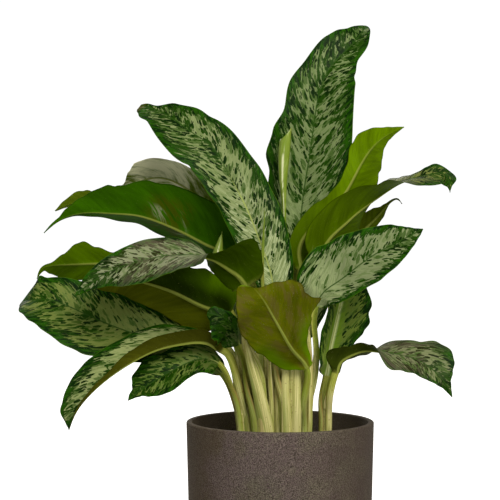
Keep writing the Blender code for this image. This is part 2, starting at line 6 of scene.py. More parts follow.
import bpy
import numpy as np
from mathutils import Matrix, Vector

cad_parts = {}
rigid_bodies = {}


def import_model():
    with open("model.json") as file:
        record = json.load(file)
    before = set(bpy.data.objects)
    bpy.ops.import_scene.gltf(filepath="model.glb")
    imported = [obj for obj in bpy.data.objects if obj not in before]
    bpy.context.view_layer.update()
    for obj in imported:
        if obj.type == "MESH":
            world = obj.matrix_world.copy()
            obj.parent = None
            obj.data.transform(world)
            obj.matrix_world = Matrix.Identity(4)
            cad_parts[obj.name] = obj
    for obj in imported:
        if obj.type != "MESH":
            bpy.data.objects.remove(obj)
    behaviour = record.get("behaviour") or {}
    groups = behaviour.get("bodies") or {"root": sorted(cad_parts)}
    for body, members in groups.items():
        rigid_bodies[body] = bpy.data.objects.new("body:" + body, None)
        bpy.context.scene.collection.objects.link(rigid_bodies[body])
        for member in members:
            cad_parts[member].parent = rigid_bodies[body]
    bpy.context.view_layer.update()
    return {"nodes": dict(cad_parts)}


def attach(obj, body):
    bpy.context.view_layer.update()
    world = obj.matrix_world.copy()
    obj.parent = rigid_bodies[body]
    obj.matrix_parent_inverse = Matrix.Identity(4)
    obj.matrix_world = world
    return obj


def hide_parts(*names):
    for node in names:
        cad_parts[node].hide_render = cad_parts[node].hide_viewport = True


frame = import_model()
mm = 0.001
print("frame:", len(frame["nodes"]), "nodes")


def mathsNode(operation, reflected=False):
    # a Math node as a method of Wire; reflected puts the other value first
    def work(self, other=0.0):
        first, second = (other, self) if reflected else (self, other)
        return self.node("ShaderNodeMath", {"operation": operation}, {0: first, 1: second})
    return work


class Wire:
    # a socket of any node tree; arithmetic on it adds Math nodes
    def __init__(self, tree, socket=None):
        self.tree = tree
        self.socket = socket

    def node(self, kind, settings=None, sockets=None, out=0):
        made = self.tree.nodes.new(kind)
        for name, value in (settings or {}).items():
            setattr(made, name, value)
        for name, value in (sockets or {}).items():
            if isinstance(value, Wire):
                self.tree.links.new(value.socket, made.inputs[name])
            else:
                made.inputs[name].default_value = value
        return Wire(self.tree, made.outputs[out])

    __add__ = __radd__ = mathsNode("ADD")
    __sub__, __rsub__ = mathsNode("SUBTRACT"), mathsNode("SUBTRACT", True)
    __mul__ = __rmul__ = mathsNode("MULTIPLY")
    __truediv__, __mod__, __pow__ = mathsNode("DIVIDE"), mathsNode("MODULO"), mathsNode("POWER")
    __abs__, sine = mathsNode("ABSOLUTE"), mathsNode("SINE")
    larger, smaller, above = mathsNode("MAXIMUM"), mathsNode("MINIMUM"), mathsNode("GREATER_THAN")


def parts(vector):
    # the three numbers of a vector
    made = vector.node("ShaderNodeSeparateXYZ", None, {0: vector}).socket.node
    return [Wire(vector.tree, socket) for socket in made.outputs]


def stretch(vector, factors):
    return vector.node("ShaderNodeVectorMath", {"operation": "MULTIPLY"}, {0: vector, 1: factors})


def shade(vector, value):
    # a colour or a vector times a number
    return vector.node("ShaderNodeVectorMath", {"operation": "SCALE"}, {0: vector, "Scale": value})


def noise(vector, scale=1.0, detail=2.0, rough=0.5, swirl=0.0):
    sockets = {"Vector": vector, "Scale": scale, "Detail": detail, "Roughness": rough, "Distortion": swirl}
    return vector.node("ShaderNodeTexNoise", None, sockets)


def streaks(flow, lengthwise, crosswise, detail=2.0, rough=0.5, swirl=0.0):
    # noise with so many cells to a metre along the leaf's flow and across it
    return noise(stretch(flow, (lengthwise, crosswise, 1)), 1, detail, rough, swirl)


def rise(value, low, high):
    # 0 below low, 1 above high and eased between; low over high turns it round
    return value.node("ShaderNodeMapRange", {"interpolation_type": "SMOOTHSTEP"}, {0: value, 1: low, 2: high})


def mix(share, first, second):
    return share.node("ShaderNodeMix", {"data_type": "RGBA"}, {0: share, 6: first, 7: second}, 2)


def paint(red, green, blue):
    # a screen colour from 0 to 255, as Blender's linear one
    shares = [level / 255 for level in (red, green, blue)]
    return tuple(c / 12.92 if c < 0.04045 else ((c + 0.055) / 1.055) ** 2.4 for c in shares) + (1,)


def coats(colour, *layers):
    # lays colours over a first one; each layer is how much of it shows, and its colour
    for share, over in layers:
        colour = mix(share, colour, over if isinstance(over, Wire) else paint(*over))
    return colour


def bump(height, distance, strength):
    return height.node("ShaderNodeBump", None, {"Height": height, "Distance": distance, "Strength": strength})


def attribute(start, name, out=1):
    # out is 1 for a vector and 2 for a number
    return start.node("ShaderNodeAttribute", {"attribute_name": name}, out=out)


def newFinish(name, recipe, **fixed):
    # recipe(start) gives what varies over the surface; fixed names the shader's own plain values
    material = bpy.data.materials.new(name)
    material.use_nodes = True
    tree = material.node_tree
    shader = tree.nodes["Principled BSDF"]
    for socket, value in fixed.items():
        shader.inputs[socket.replace("_", " ")].default_value = value
    for socket, wire in recipe(Wire(tree)).items():
        tree.links.new(wire.socket, shader.inputs[socket])
    return material


def newObject(name, data):
    made = bpy.data.objects.new(name, data)
    bpy.context.scene.collection.objects.link(made)
    return made


def newPiece(name, mesh, node=None, finishes=()):
    # a piece that rides on the plant's one body and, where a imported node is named, stands for it
    for finish in finishes:
        mesh.materials.append(finish)
    piece = newObject(name, mesh)
    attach(piece, "root")
    if node:
        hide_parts(node)


class Shape:
    # a Geometry Nodes tree with named inputs, ending in Realize Instances and Set Material
    def __init__(self, name, inputs):
        self.tree = bpy.data.node_groups.new(name, "GeometryNodeTree")
        self.ids = {}
        for label, kind in {"Geometry": "Geometry", "Finish": "Material", **inputs}.items():
            made = self.tree.interface.new_socket(label, in_out="INPUT", socket_type="NodeSocket" + kind)
            self.ids[label] = made.identifier
        self.tree.interface.new_socket("Geometry", in_out="OUTPUT", socket_type="NodeSocketGeometry")
        self.entry = self.tree.nodes.new("NodeGroupInput")

    def __getitem__(self, label):
        return Wire(self.tree, self.entry.outputs[label])

    def end(self, *branches):
        # every branch gets the finish before the branches join
        joined = self.tree.nodes.new("GeometryNodeJoinGeometry")
        for branch in branches:
            real = branch.node("GeometryNodeRealizeInstances", None, {0: branch})
            done = real.node("GeometryNodeSetMaterial", None, {0: real, 2: self["Finish"]})
            self.tree.links.new(done.socket, joined.inputs[0])
        leave = self.tree.nodes.new("NodeGroupOutput")
        self.tree.links.new(joined.outputs[0], leave.inputs[0])

    def mesh(self, name, base, values):
        # the tree's result on a base mesh, as a plain mesh
        carrier = newObject(name + "_base", base)
        modifier = carrier.modifiers.new("shape", "NODES")
        modifier.node_group = self.tree
        for label, value in values.items():
            modifier[self.ids[label]] = value
        depsgraph = bpy.context.evaluated_depsgraph_get()
        result = bpy.data.meshes.new_from_object(carrier.evaluated_get(depsgraph), depsgraph=depsgraph)
        result.name = name
        carrier.modifiers.remove(modifier)
        bpy.data.objects.remove(carrier)
        return result


# the front view: millimetres to a picture point, the pot's place in it, and the eye
view = dict(unit=1.176, middle=250.0, potAcross=280.0, eyeHeight=400.5, eyeDistance=1620.0)


def seenAt(across, down, depth):
    # the point, in millimetres, that shows at (across, down) in the front view when it lies at that depth
    growth = view["unit"] * (1 + depth / view["eyeDistance"])
    eyeX = (view["middle"] - view["potAcross"]) * view["unit"]
    return np.array([
        eyeX + (across - view["middle"]) * growth,
        depth,
        view["eyeHeight"] - (down - view["middle"]) * growth,
    ])


def unit(vector):
    return vector / np.linalg.norm(vector, axis=-1, keepdims=True)


def ease(value):
    value = np.clip(value, 0, 1)
    return value * value * (3 - 2 * value)


def smoothPath(points, startDirection, steps=40):
    # a cubic spline through the points, and where each point lies in it
    points = np.array(points, float)
    gaps = np.linalg.norm(np.diff(points, axis=0), axis=1)
    count = len(points)
    system = np.zeros((count, count))
    target = np.zeros((count, 3))
    system[0, :2] = 2 * gaps[0], gaps[0]
    target[0] = 6 * ((points[1] - points[0]) / gaps[0] - startDirection)
    system[-1, -1] = 1
    for i in range(1, count - 1):
        system[i, i - 1:i + 2] = gaps[i - 1], 2 * (gaps[i - 1] + gaps[i]), gaps[i]
        target[i] = 6 * ((points[i + 1] - points[i]) / gaps[i] - (points[i] - points[i - 1]) / gaps[i - 1])
    bend = np.linalg.solve(system, target)
    dense = []
    for i, gap in enumerate(gaps):
        b = np.arange(steps)[:, None] / steps
        a = 1 - b
        cubic = ((a**3 - a) * bend[i] + (b**3 - b) * bend[i + 1]) * gap * gap / 6
        dense.append(a * points[i] + b * points[i + 1] + cubic)
    dense = np.concatenate([*dense, points[-1:]])
    travel = np.concatenate([[0], np.cumsum(np.linalg.norm(np.diff(dense, axis=0), axis=1))])
    return dense, travel, travel[::steps]


def along(travel, values, stops):
    return np.stack([np.interp(stops, travel, values[:, k]) for k in range(3)], axis=-1)


# in millimetres; each cane stands on its foot, below the soil, and leans to its top
# leaf scars are scarGap plus gapByRadius radii apart, and swell the cane by scarSwell of its radius
caneSizes = dict(foot=122.0, rows=120, sides=28, scarSwell=0.02, scarGap=9.0, gapByRadius=0.7)
canes = {
    "left_outer": dict(foot=(-37, -17), top=(-47, -19, 212), radius=3.2),
    "left": dict(foot=(-30, 0), top=(-47, -2, 262), radius=6.2),
    "front_left": dict(foot=(-14, -16), top=(-28, -19, 262), radius=7.6),
    "front_right": dict(foot=(12, -15), top=(12, -15, 284), radius=7.5),
    "back_left": dict(foot=(-8, 15), top=(-14, 22, 275), radius=7.0),
    "back_right": dict(foot=(17, 15), top=(21, 21, 284), radius=7.0),
    "right": dict(foot=(29, -7), top=(30, -8, 226), radius=4.0),
    "right_outer": dict(foot=(53.5, 0), top=(54, 0, 214), radius=4.2),
}


def caneLine(cane):
    # its foot, its top, and the step along it for each millimetre of height
    foot = np.array([*cane["foot"], caneSizes["foot"]], float)
    top = np.array(cane["top"], float)
    return foot, top, (top - foot) / (top[2] - foot[2])


def stalkColour(flow, spot):
    # pale cream-green with fine stripes, which the bump reads too
    t, edge = parts(spot)[:2]
    stripes = streaks(flow, 14, 900, 3, 0.65)
    striped = rise(stripes, 0.3, 0.7)
    pale = mix(striped, paint(238, 232, 166), paint(170, 172, 84))
    green = mix(striped, paint(196, 198, 100), paint(126, 140, 42))
    height = rise(t, -1.0, 0.05) + (streaks(flow, 9, 210) - 0.5) * 0.9
    return coats(
        mix(rise(height, 0.3, 0.85), pale, green),
        (rise(streaks(flow, 5, 70, 1), 0.46, 0.58) * 0.65, (126, 152, 44)),
        (rise(streaks(flow, 11, 130), 0.54, 0.66) * rise(t, 0.1, -0.3) * 0.4, (150, 118, 72)),  # low down
        (rise(streaks(flow, 22, 480), 0.56, 0.68) * 0.45, (134, 140, 44)),
        (rise(streaks(flow, 380, 640, 1), 0.70, 0.74) * 0.6, (112, 76, 36)),  # flecks
        # painted shade: a darker band beside the margin where the sheaths overlap
        (rise(edge, 0.8, 1.0) * rise(t, 0.0, -0.2) * 0.5, (112, 112, 40)),
        (rise(edge, 0.95, 0.99) * rise(t, -0.3, -0.6) * 0.45, (178, 140, 84)),  # the sheath's tan margin
    ), stripes


def caneRecipe(start):
    # the same striped skin, with faint brown lines where old leaves left
    place = start.node("ShaderNodeTexCoord", out=3)
    grain = noise(stretch(place, (900, 900, 34)), 1, 3, 0.65)
    broad = noise(stretch(place, (190, 190, 14)), 1, 2)
    colour = coats(
        mix(rise(grain, 0.3, 0.7), paint(228, 222, 152), paint(156, 160, 74)),
        (rise(broad, 0.5, 0.7) * 0.5, (126, 134, 44)),
        (rise(noise(place, 430, 1), 0.66, 0.72) * 0.55, (116, 80, 38)),
        (rise(attribute(start, "scar", 2), 0.35, 0.9) * 0.28, (132, 104, 56)),
    )
    return {"Base Color": colour, "Normal": bump(grain, 0.5 * mm, 0.6)}


def makeCaneShape():
    # a line from foot to top, swept with a round section that swells at each old leaf scar
    shape = Shape("cane_shape", {"Foot": "Vector", "Top": "Vector", "Radius": "Float", "Scar gap": "Float"})
    line = shape["Foot"].node("GeometryNodeCurvePrimitiveLine", None, {0: shape["Foot"], 1: shape["Top"]})
    line = line.node("GeometryNodeResampleCurve", None, {0: line, 2: caneSizes["rows"]})
    factor = line.node("GeometryNodeSplineParameter", out=0)
    length = line.node("GeometryNodeSplineParameter", out=1)
    turn = length / shape["Scar gap"] % 1.0
    scar = rise(turn, 0.10, 0.02) + rise(turn, 0.80, 0.98)
    line = line.node("GeometryNodeStoreNamedAttribute", None, {0: line, 2: "scar", 3: scar})
    close = rise(factor, 1.0, 0.965) ** 0.5 * 0.6 + 0.4
    size = shape["Radius"] * (1 + scar * caneSizes["scarSwell"]) * close
    sizes = {"Resolution": caneSizes["sides"], "Radius": 1.0}
    ring = line.node("GeometryNodeCurvePrimitiveCircle", None, sizes)
    tube = line.node("GeometryNodeCurveToMesh", None, {0: line, 1: ring, 2: size, 3: True})
    shape.end(tube.node("GeometryNodeSetShadeSmooth", None, {0: tube, 2: True}))
    return shape


caneFinish = newFinish("cane_skin", caneRecipe, Roughness=0.5, Specular_IOR_Level=0.2)
caneShape = makeCaneShape()
for caneName, cane in canes.items():
    foot, top, rising = caneLine(cane)
    scarGap = caneSizes["scarGap"] + cane["radius"] * caneSizes["gapByRadius"]
    caneMesh = caneShape.mesh("stem_" + caneName, bpy.data.meshes.new("empty"), {
        "Finish": caneFinish, "Foot": foot * mm, "Top": top * mm, "Radius": cane["radius"] * mm,
        "Scar gap": scarGap * mm})
    newPiece("stem_" + caneName, caneMesh, "cane_" + caneName)
print("canes done:", len(canes))


pot = dict(
    height=200.0, rimRadius=110.0, footRadius=105.0, wall=7.0, floor=9.0, edge=2.0, sides=180,
    axisOffset=10.0)


def potRecipe(start):
    # matt charcoal-brown composite: a fine salt-and-pepper grain over slow purple and olive drifts, with
    # painted shade on the sides, a painted highlight on the rim and painted light inside
    place = start.node("ShaderNodeTexCoord", out=3)
    across, deep, height = parts(place)
    grain = noise(place, 980, 1, 0.6)
    coarse = noise(place, 520, 2, 0.7)
    drift = noise(place, 24, 3, 0.6)
    # place across the pot, wavered, for the painted shade on its sides
    sideShadeAcross = across + (drift - 0.5) * 0.1
    inside = rise((across * across + deep * deep) ** 0.5, 0.1045, 0.1035) * rise(height, 0.1995, 0.197)
    colour = coats(
        mix(rise(drift, 0.40, 0.60), paint(110, 102, 88), paint(110, 97, 93)),
        (rise(noise(place, 14, 2), 0.5, 0.66) * 0.4, (94, 92, 76)),
        (rise(grain, 0.38, 0.62) * 0.9, (42, 34, 27)),
        (rise(coarse, 0.40, 0.30) * 0.6, (132, 122, 108)),
        (rise(noise(place, 600, 1), 0.58, 0.68) * 0.5, (84, 62, 72)),
        (rise(sideShadeAcross, -0.03, -0.1) * 0.62, (56, 38, 12)),  # painted shade: the left side here and the right side below are darker
        (rise(sideShadeAcross, 0.0, 0.11) * 0.7, (54, 42, 30)),
        (rise(height, 0.1975, 0.2) * rise(coarse, 0.45, 0.6) * 0.3, (118, 110, 96)),  # painted highlight along the rim
        # painted light: the inner wall is painted paler where the plant's shade falls on it
        (inside * 0.3, (112, 104, 90)),
    )
    rough = rise(grain, 0.3, 0.7) * 0.15 + 0.72
    return {"Base Color": colour, "Roughness": rough, "Normal": bump(grain + coarse * 0.7, 0.5 * mm, 0.7)}


def innerRadius(height):
    # from the pot's axis to its wall
    foot, rim = pot["footRadius"], pot["rimRadius"]
    return foot + (rim - foot) * height / pot["height"] - pot["wall"]


def between(first, last, shares):
    return [tuple(a + (b - a) * share for a, b in zip(first, last)) for share in shares]


def potProfile():
    # half of the pot's section, from the middle of the underside round to the middle of the inner floor
    foot, rim, edge, top, floor = (pot[key] for key in ("footRadius", "rimRadius", "edge", "height", "floor"))
    inner, innerFloor = rim - pot["wall"], innerRadius(floor)

    def corner(across, up, start):
        turns = [math.radians(start + step * 15) for step in range(7)]
        return [(across + edge * math.cos(turn), up + edge * math.sin(turn)) for turn in turns]

    return [
        (0, 0), (40, 0), (80, 0), *corner(foot - edge, edge, -90),
        *between((foot, edge), (rim, top - edge), (0.2, 0.4, 0.6, 0.8)),
        *corner(rim - edge, top - edge, 0), *corner(inner + edge, top - edge, 90),
        *between((inner, top - edge), (innerFloor, floor), (0.25, 0.5, 0.75)),
        (innerFloor, floor + 3), (innerFloor - 1, floor + 0.8), (innerFloor - 3, floor),
        (50, floor), (0, floor)]


def makePot():
    # the profile, drawn from a ring inside the pot's axis, is swept round that ring
    shape = Shape("pot_shape", {"Sides": "Int", "Axis offset": "Float"})
    profile = shape["Geometry"].node("GeometryNodeMeshToCurve", None, {0: shape["Geometry"]})
    sizes = {"Resolution": shape["Sides"], "Radius": shape["Axis offset"]}
    ring = profile.node("GeometryNodeCurvePrimitiveCircle", None, sizes)
    ring = ring.node("GeometryNodeSetCurveNormal", {"mode": "Z_UP"}, {0: ring})
    wall = ring.node("GeometryNodeCurveToMesh", None, {0: ring, 1: profile, 3: False})
    wall = wall.node("GeometryNodeMergeByDistance", None, {0: wall, 2: 0.02 * mm})
    shape.end(wall.node("GeometryNodeSetShadeSmooth", None, {0: wall, 2: True}))
    base = bpy.data.meshes.new("pot_profile")
    corners = [((r - pot["axisOffset"]) * mm, -z * mm, 0) for r, z in reversed(potProfile())]
    base.from_pydata(corners, [(i, i + 1) for i in range(len(corners) - 1)], [])
    finish = newFinish("pot_composite", potRecipe, Specular_IOR_Level=0.35)
    return shape.mesh("pot_body", base, {
        "Finish": finish, "Sides": pot["sides"], "Axis offset": pot["axisOffset"] * mm})


potMesh = makePot()
newPiece("pot_body", potMesh, "pot")
print("pot done:", len(potMesh.vertices), "points")


soil = dict(
    top=168.0, mound=4.0, smoothEdge=9.0, gap=0.35, floor=9.35, rings=34, spokes=132,
    chips=34000.0, chipSize=5.2, seed=4)


def soilRecipe(start):
    # dark crumbly mix, nearly black where it is moist, and chips of bark from umber to tan
    place = start.node("ShaderNodeTexCoord", out=3)
    tone = attribute(start, "chipTone", 2)
    crumbs = noise(place, 520, 4, 0.7)
    grainy = noise(stretch(place, (300, 300, 900)), 1, 3)
    bark = mix(rise(tone, 0.2, 1.0), paint(62, 40, 26), paint(142, 100, 66))
    bark = mix(rise(grainy, 0.35, 0.65) * 0.6, bark, paint(38, 25, 17))
    colour = mix(rise(tone, 0.01, 0.05), mix(crumbs, paint(24, 17, 12), paint(66, 47, 33)), bark)
    return {"Base Color": colour, "Normal": bump(crumbs, 1.5 * mm, 0.9)}


def makeSoilBase():
    # a turned body that fills the pot, with a lumpy mounded top
    outer = innerRadius(soil["top"]) - soil["gap"]
    turns = np.linspace(0, 2 * np.pi, soil["spokes"], endpoint=False)
    radii = outer * np.linspace(1, 0, soil["rings"] + 1)[:-1] ** 0.8
    radii = np.concatenate([[innerRadius(soil["floor"]) - soil["gap"]], radii])[:, None]
    x, y = radii * np.cos(turns), radii * np.sin(turns)
    lumps = 1.1 * np.sin(x / 7.3 + 1.7 * np.sin(y / 9)) * np.cos(y / 6.1)
    lumps = lumps + 0.5 * np.sin(x / 3.1) * np.sin(y / 2.7 + x / 5)
    lumps = lumps * ease((outer - radii) / soil["smoothEdge"])
    z = soil["top"] + soil["mound"] * (1 - (radii / outer) ** 2) + lumps
    z[0] = soil["floor"]
    points = np.stack([x, y, z], axis=2).reshape(-1, 3).tolist() + [(0, 0, soil["top"] + soil["mound"])]
    ring = np.arange(x.size).reshape(x.shape)
    after = np.roll(ring, -1, axis=1)
    faces = np.stack([ring[:-1], after[:-1], after[1:], ring[1:]], axis=2).reshape(-1, 4).tolist()
    faces += [(a, b, x.size) for a, b in zip(ring[-1], after[-1])]
    faces.append(tuple(reversed(ring[0])))
    mesh = bpy.data.meshes.new("soil_base")
    mesh.from_pydata([[value * mm for value in point] for point in points], [], faces)
    return mesh


def makeSoil():
    # bark chips scattered over the top of the soil, clear of the pot's wall
    shape = Shape("soil_shape", {"Density": "Float", "Chip size": "Float", "Seed": "Int"})
    body = shape["Geometry"]
    facing = parts(body.node("GeometryNodeInputNormal"))[2]
    across, deep = parts(body.node("GeometryNodeInputPosition"))[:2]
    inside = rise(across * across + deep * deep, 0.0092, 0.0090) * rise(facing, 0.55, 0.6)
    points = body.node("GeometryNodeDistributePointsOnFaces", None, {
        "Mesh": body, "Selection": inside.above(0.5), "Density": shape["Density"], "Seed": shape["Seed"]})
    chip = body.node("GeometryNodeMeshIcoSphere", None, {"Radius": 0.5, "Subdivisions": 1})
    place = chip.node("GeometryNodeInputPosition")
    offset = shade(place, (noise(place, 1.3, 2, 0.7) - 0.5) * 1.8)
    chip = chip.node("GeometryNodeSetPosition", None, {"Geometry": chip, "Offset": offset})

    def chance(kind, low, high, seed):
        # Min, Max and the result sit at other places for a vector than for a number
        first, last, out = (0, 1, 0) if kind == "FLOAT_VECTOR" else (2, 3, 1)
        sockets = {first: low, last: high, "Seed": shape["Seed"] + seed}
        return chip.node("FunctionNodeRandomValue", {"data_type": kind}, sockets, out)

    turn = chance("FLOAT_VECTOR", (-0.5, -0.5, 0), (0.5, 0.5, 6.28), 1)
    turn = turn.node("FunctionNodeEulerToRotation", None, {0: turn})
    size = shade(chance("FLOAT_VECTOR", (0.6, 0.35, 0.22), (2.0, 1.0, 0.55), 2), shape["Chip size"])
    chips = points.node("GeometryNodeInstanceOnPoints", None, {
        "Points": points, "Instance": chip, "Rotation": turn, "Scale": size})
    chips = chips.node("GeometryNodeStoreNamedAttribute", {"domain": "INSTANCE"}, {
        "Geometry": chips, "Name": "chipTone", "Value": chance("FLOAT", 0.06, 1.0, 3)})
    shape.end(body, chips)
    finish = newFinish("potting_mix", soilRecipe, Roughness=0.92, Specular_IOR_Level=0.25)
    return shape.mesh("potting_soil", makeSoilBase(), {
        "Finish": finish, "Density": soil["chips"], "Seed": soil["seed"], "Chip size": soil["chipSize"] * mm})


soilMesh = makeSoil()
newPiece("potting_soil", soilMesh, "soil")
print("soil done:", len(soilMesh.polygons), "faces")


# what all leaves share, in millimetres: the blade, the stalk, the sheath that clasps the cane, and the rows
leafSizes = dict(
    thickness=1.0, outlinePower=0.62, tipHalfWidth=0.5, creaseRadius=1.4, ribGroove=0.75, ribGrooveWidth=1.7,
    baseShare=0.1, unevenness=0.022, waves=2.6, crinkles=6.7, outOfStep=0.65, veinSlant=0.84, veinCurve=0.5,
    petioleHalfWidth=4.0, petioleDepth=6.5, petioleGroove=1.6, wingFade=110.0,
    sheathGap=0.6, sheathThickness=3.6, sheathEdge=1.2, sheathAngle=math.radians(47), sheathFade=45.0,
    bladeRows=104, rowCrowding=0.035, petioleRows=34, sheathRows=6, skirtRows=10, skirtEnd=166.0)
halfColumns = [
    0, 0.025, 0.055, 0.09, 0.13, 0.18, 0.24, 0.31, 0.39, 0.47, 0.55, 0.63, 0.71, 0.79, 0.86, 0.92, 0.965, 1]
leafColumns = np.array([-a for a in halfColumns[:0:-1]] + halfColumns)

# what a leaf has where its plan doesn't say otherwise
usualLeaf = dict(
    hug=14,  # how high the sheath clasps the cane
    wrap=58, footShare=0.25,  # degrees that its foot reaches round each side, and how thick it is there
    wing=7.0,  # half-width of the open part above it
    halfWidth=38, skew=1,  # the blade's widest half-width; a skew under 1 puts it nearer the base
    tip=0,  # over 0 fuller, under 0 drawn out
    fold=14, wave=2,  # degrees that each half turns up (foldLeft: the left one), and how far it waves
    left={0: 100, 100: 100}, right={0: 100, 100: 100},  # margins from base to tip, percent of the outline
    ground=(126, 142, 92), under=(66, 100, 16),  # silver above, colour below (underRight: its right half)
    dark=0, pale=0.1,  # how much of the upper side is dark, and how far its midrib stays pale
    warm=0,  # a painted brownish sheen above, a painted reflection that also browns the dark dabs; over 0.7 a worn brown mottle below too
    fresh=0,  # a brighter base, from 0.95 on both halves below; under 0 a darker base, which is painted shade
    stain=0,  # a burnt tip and a whitish base above, the base a painted highlight, and a brown patch below
    glow=0,  # a pale midrib above, brightened as a painted highlight, and a silvery painted reflection below
)

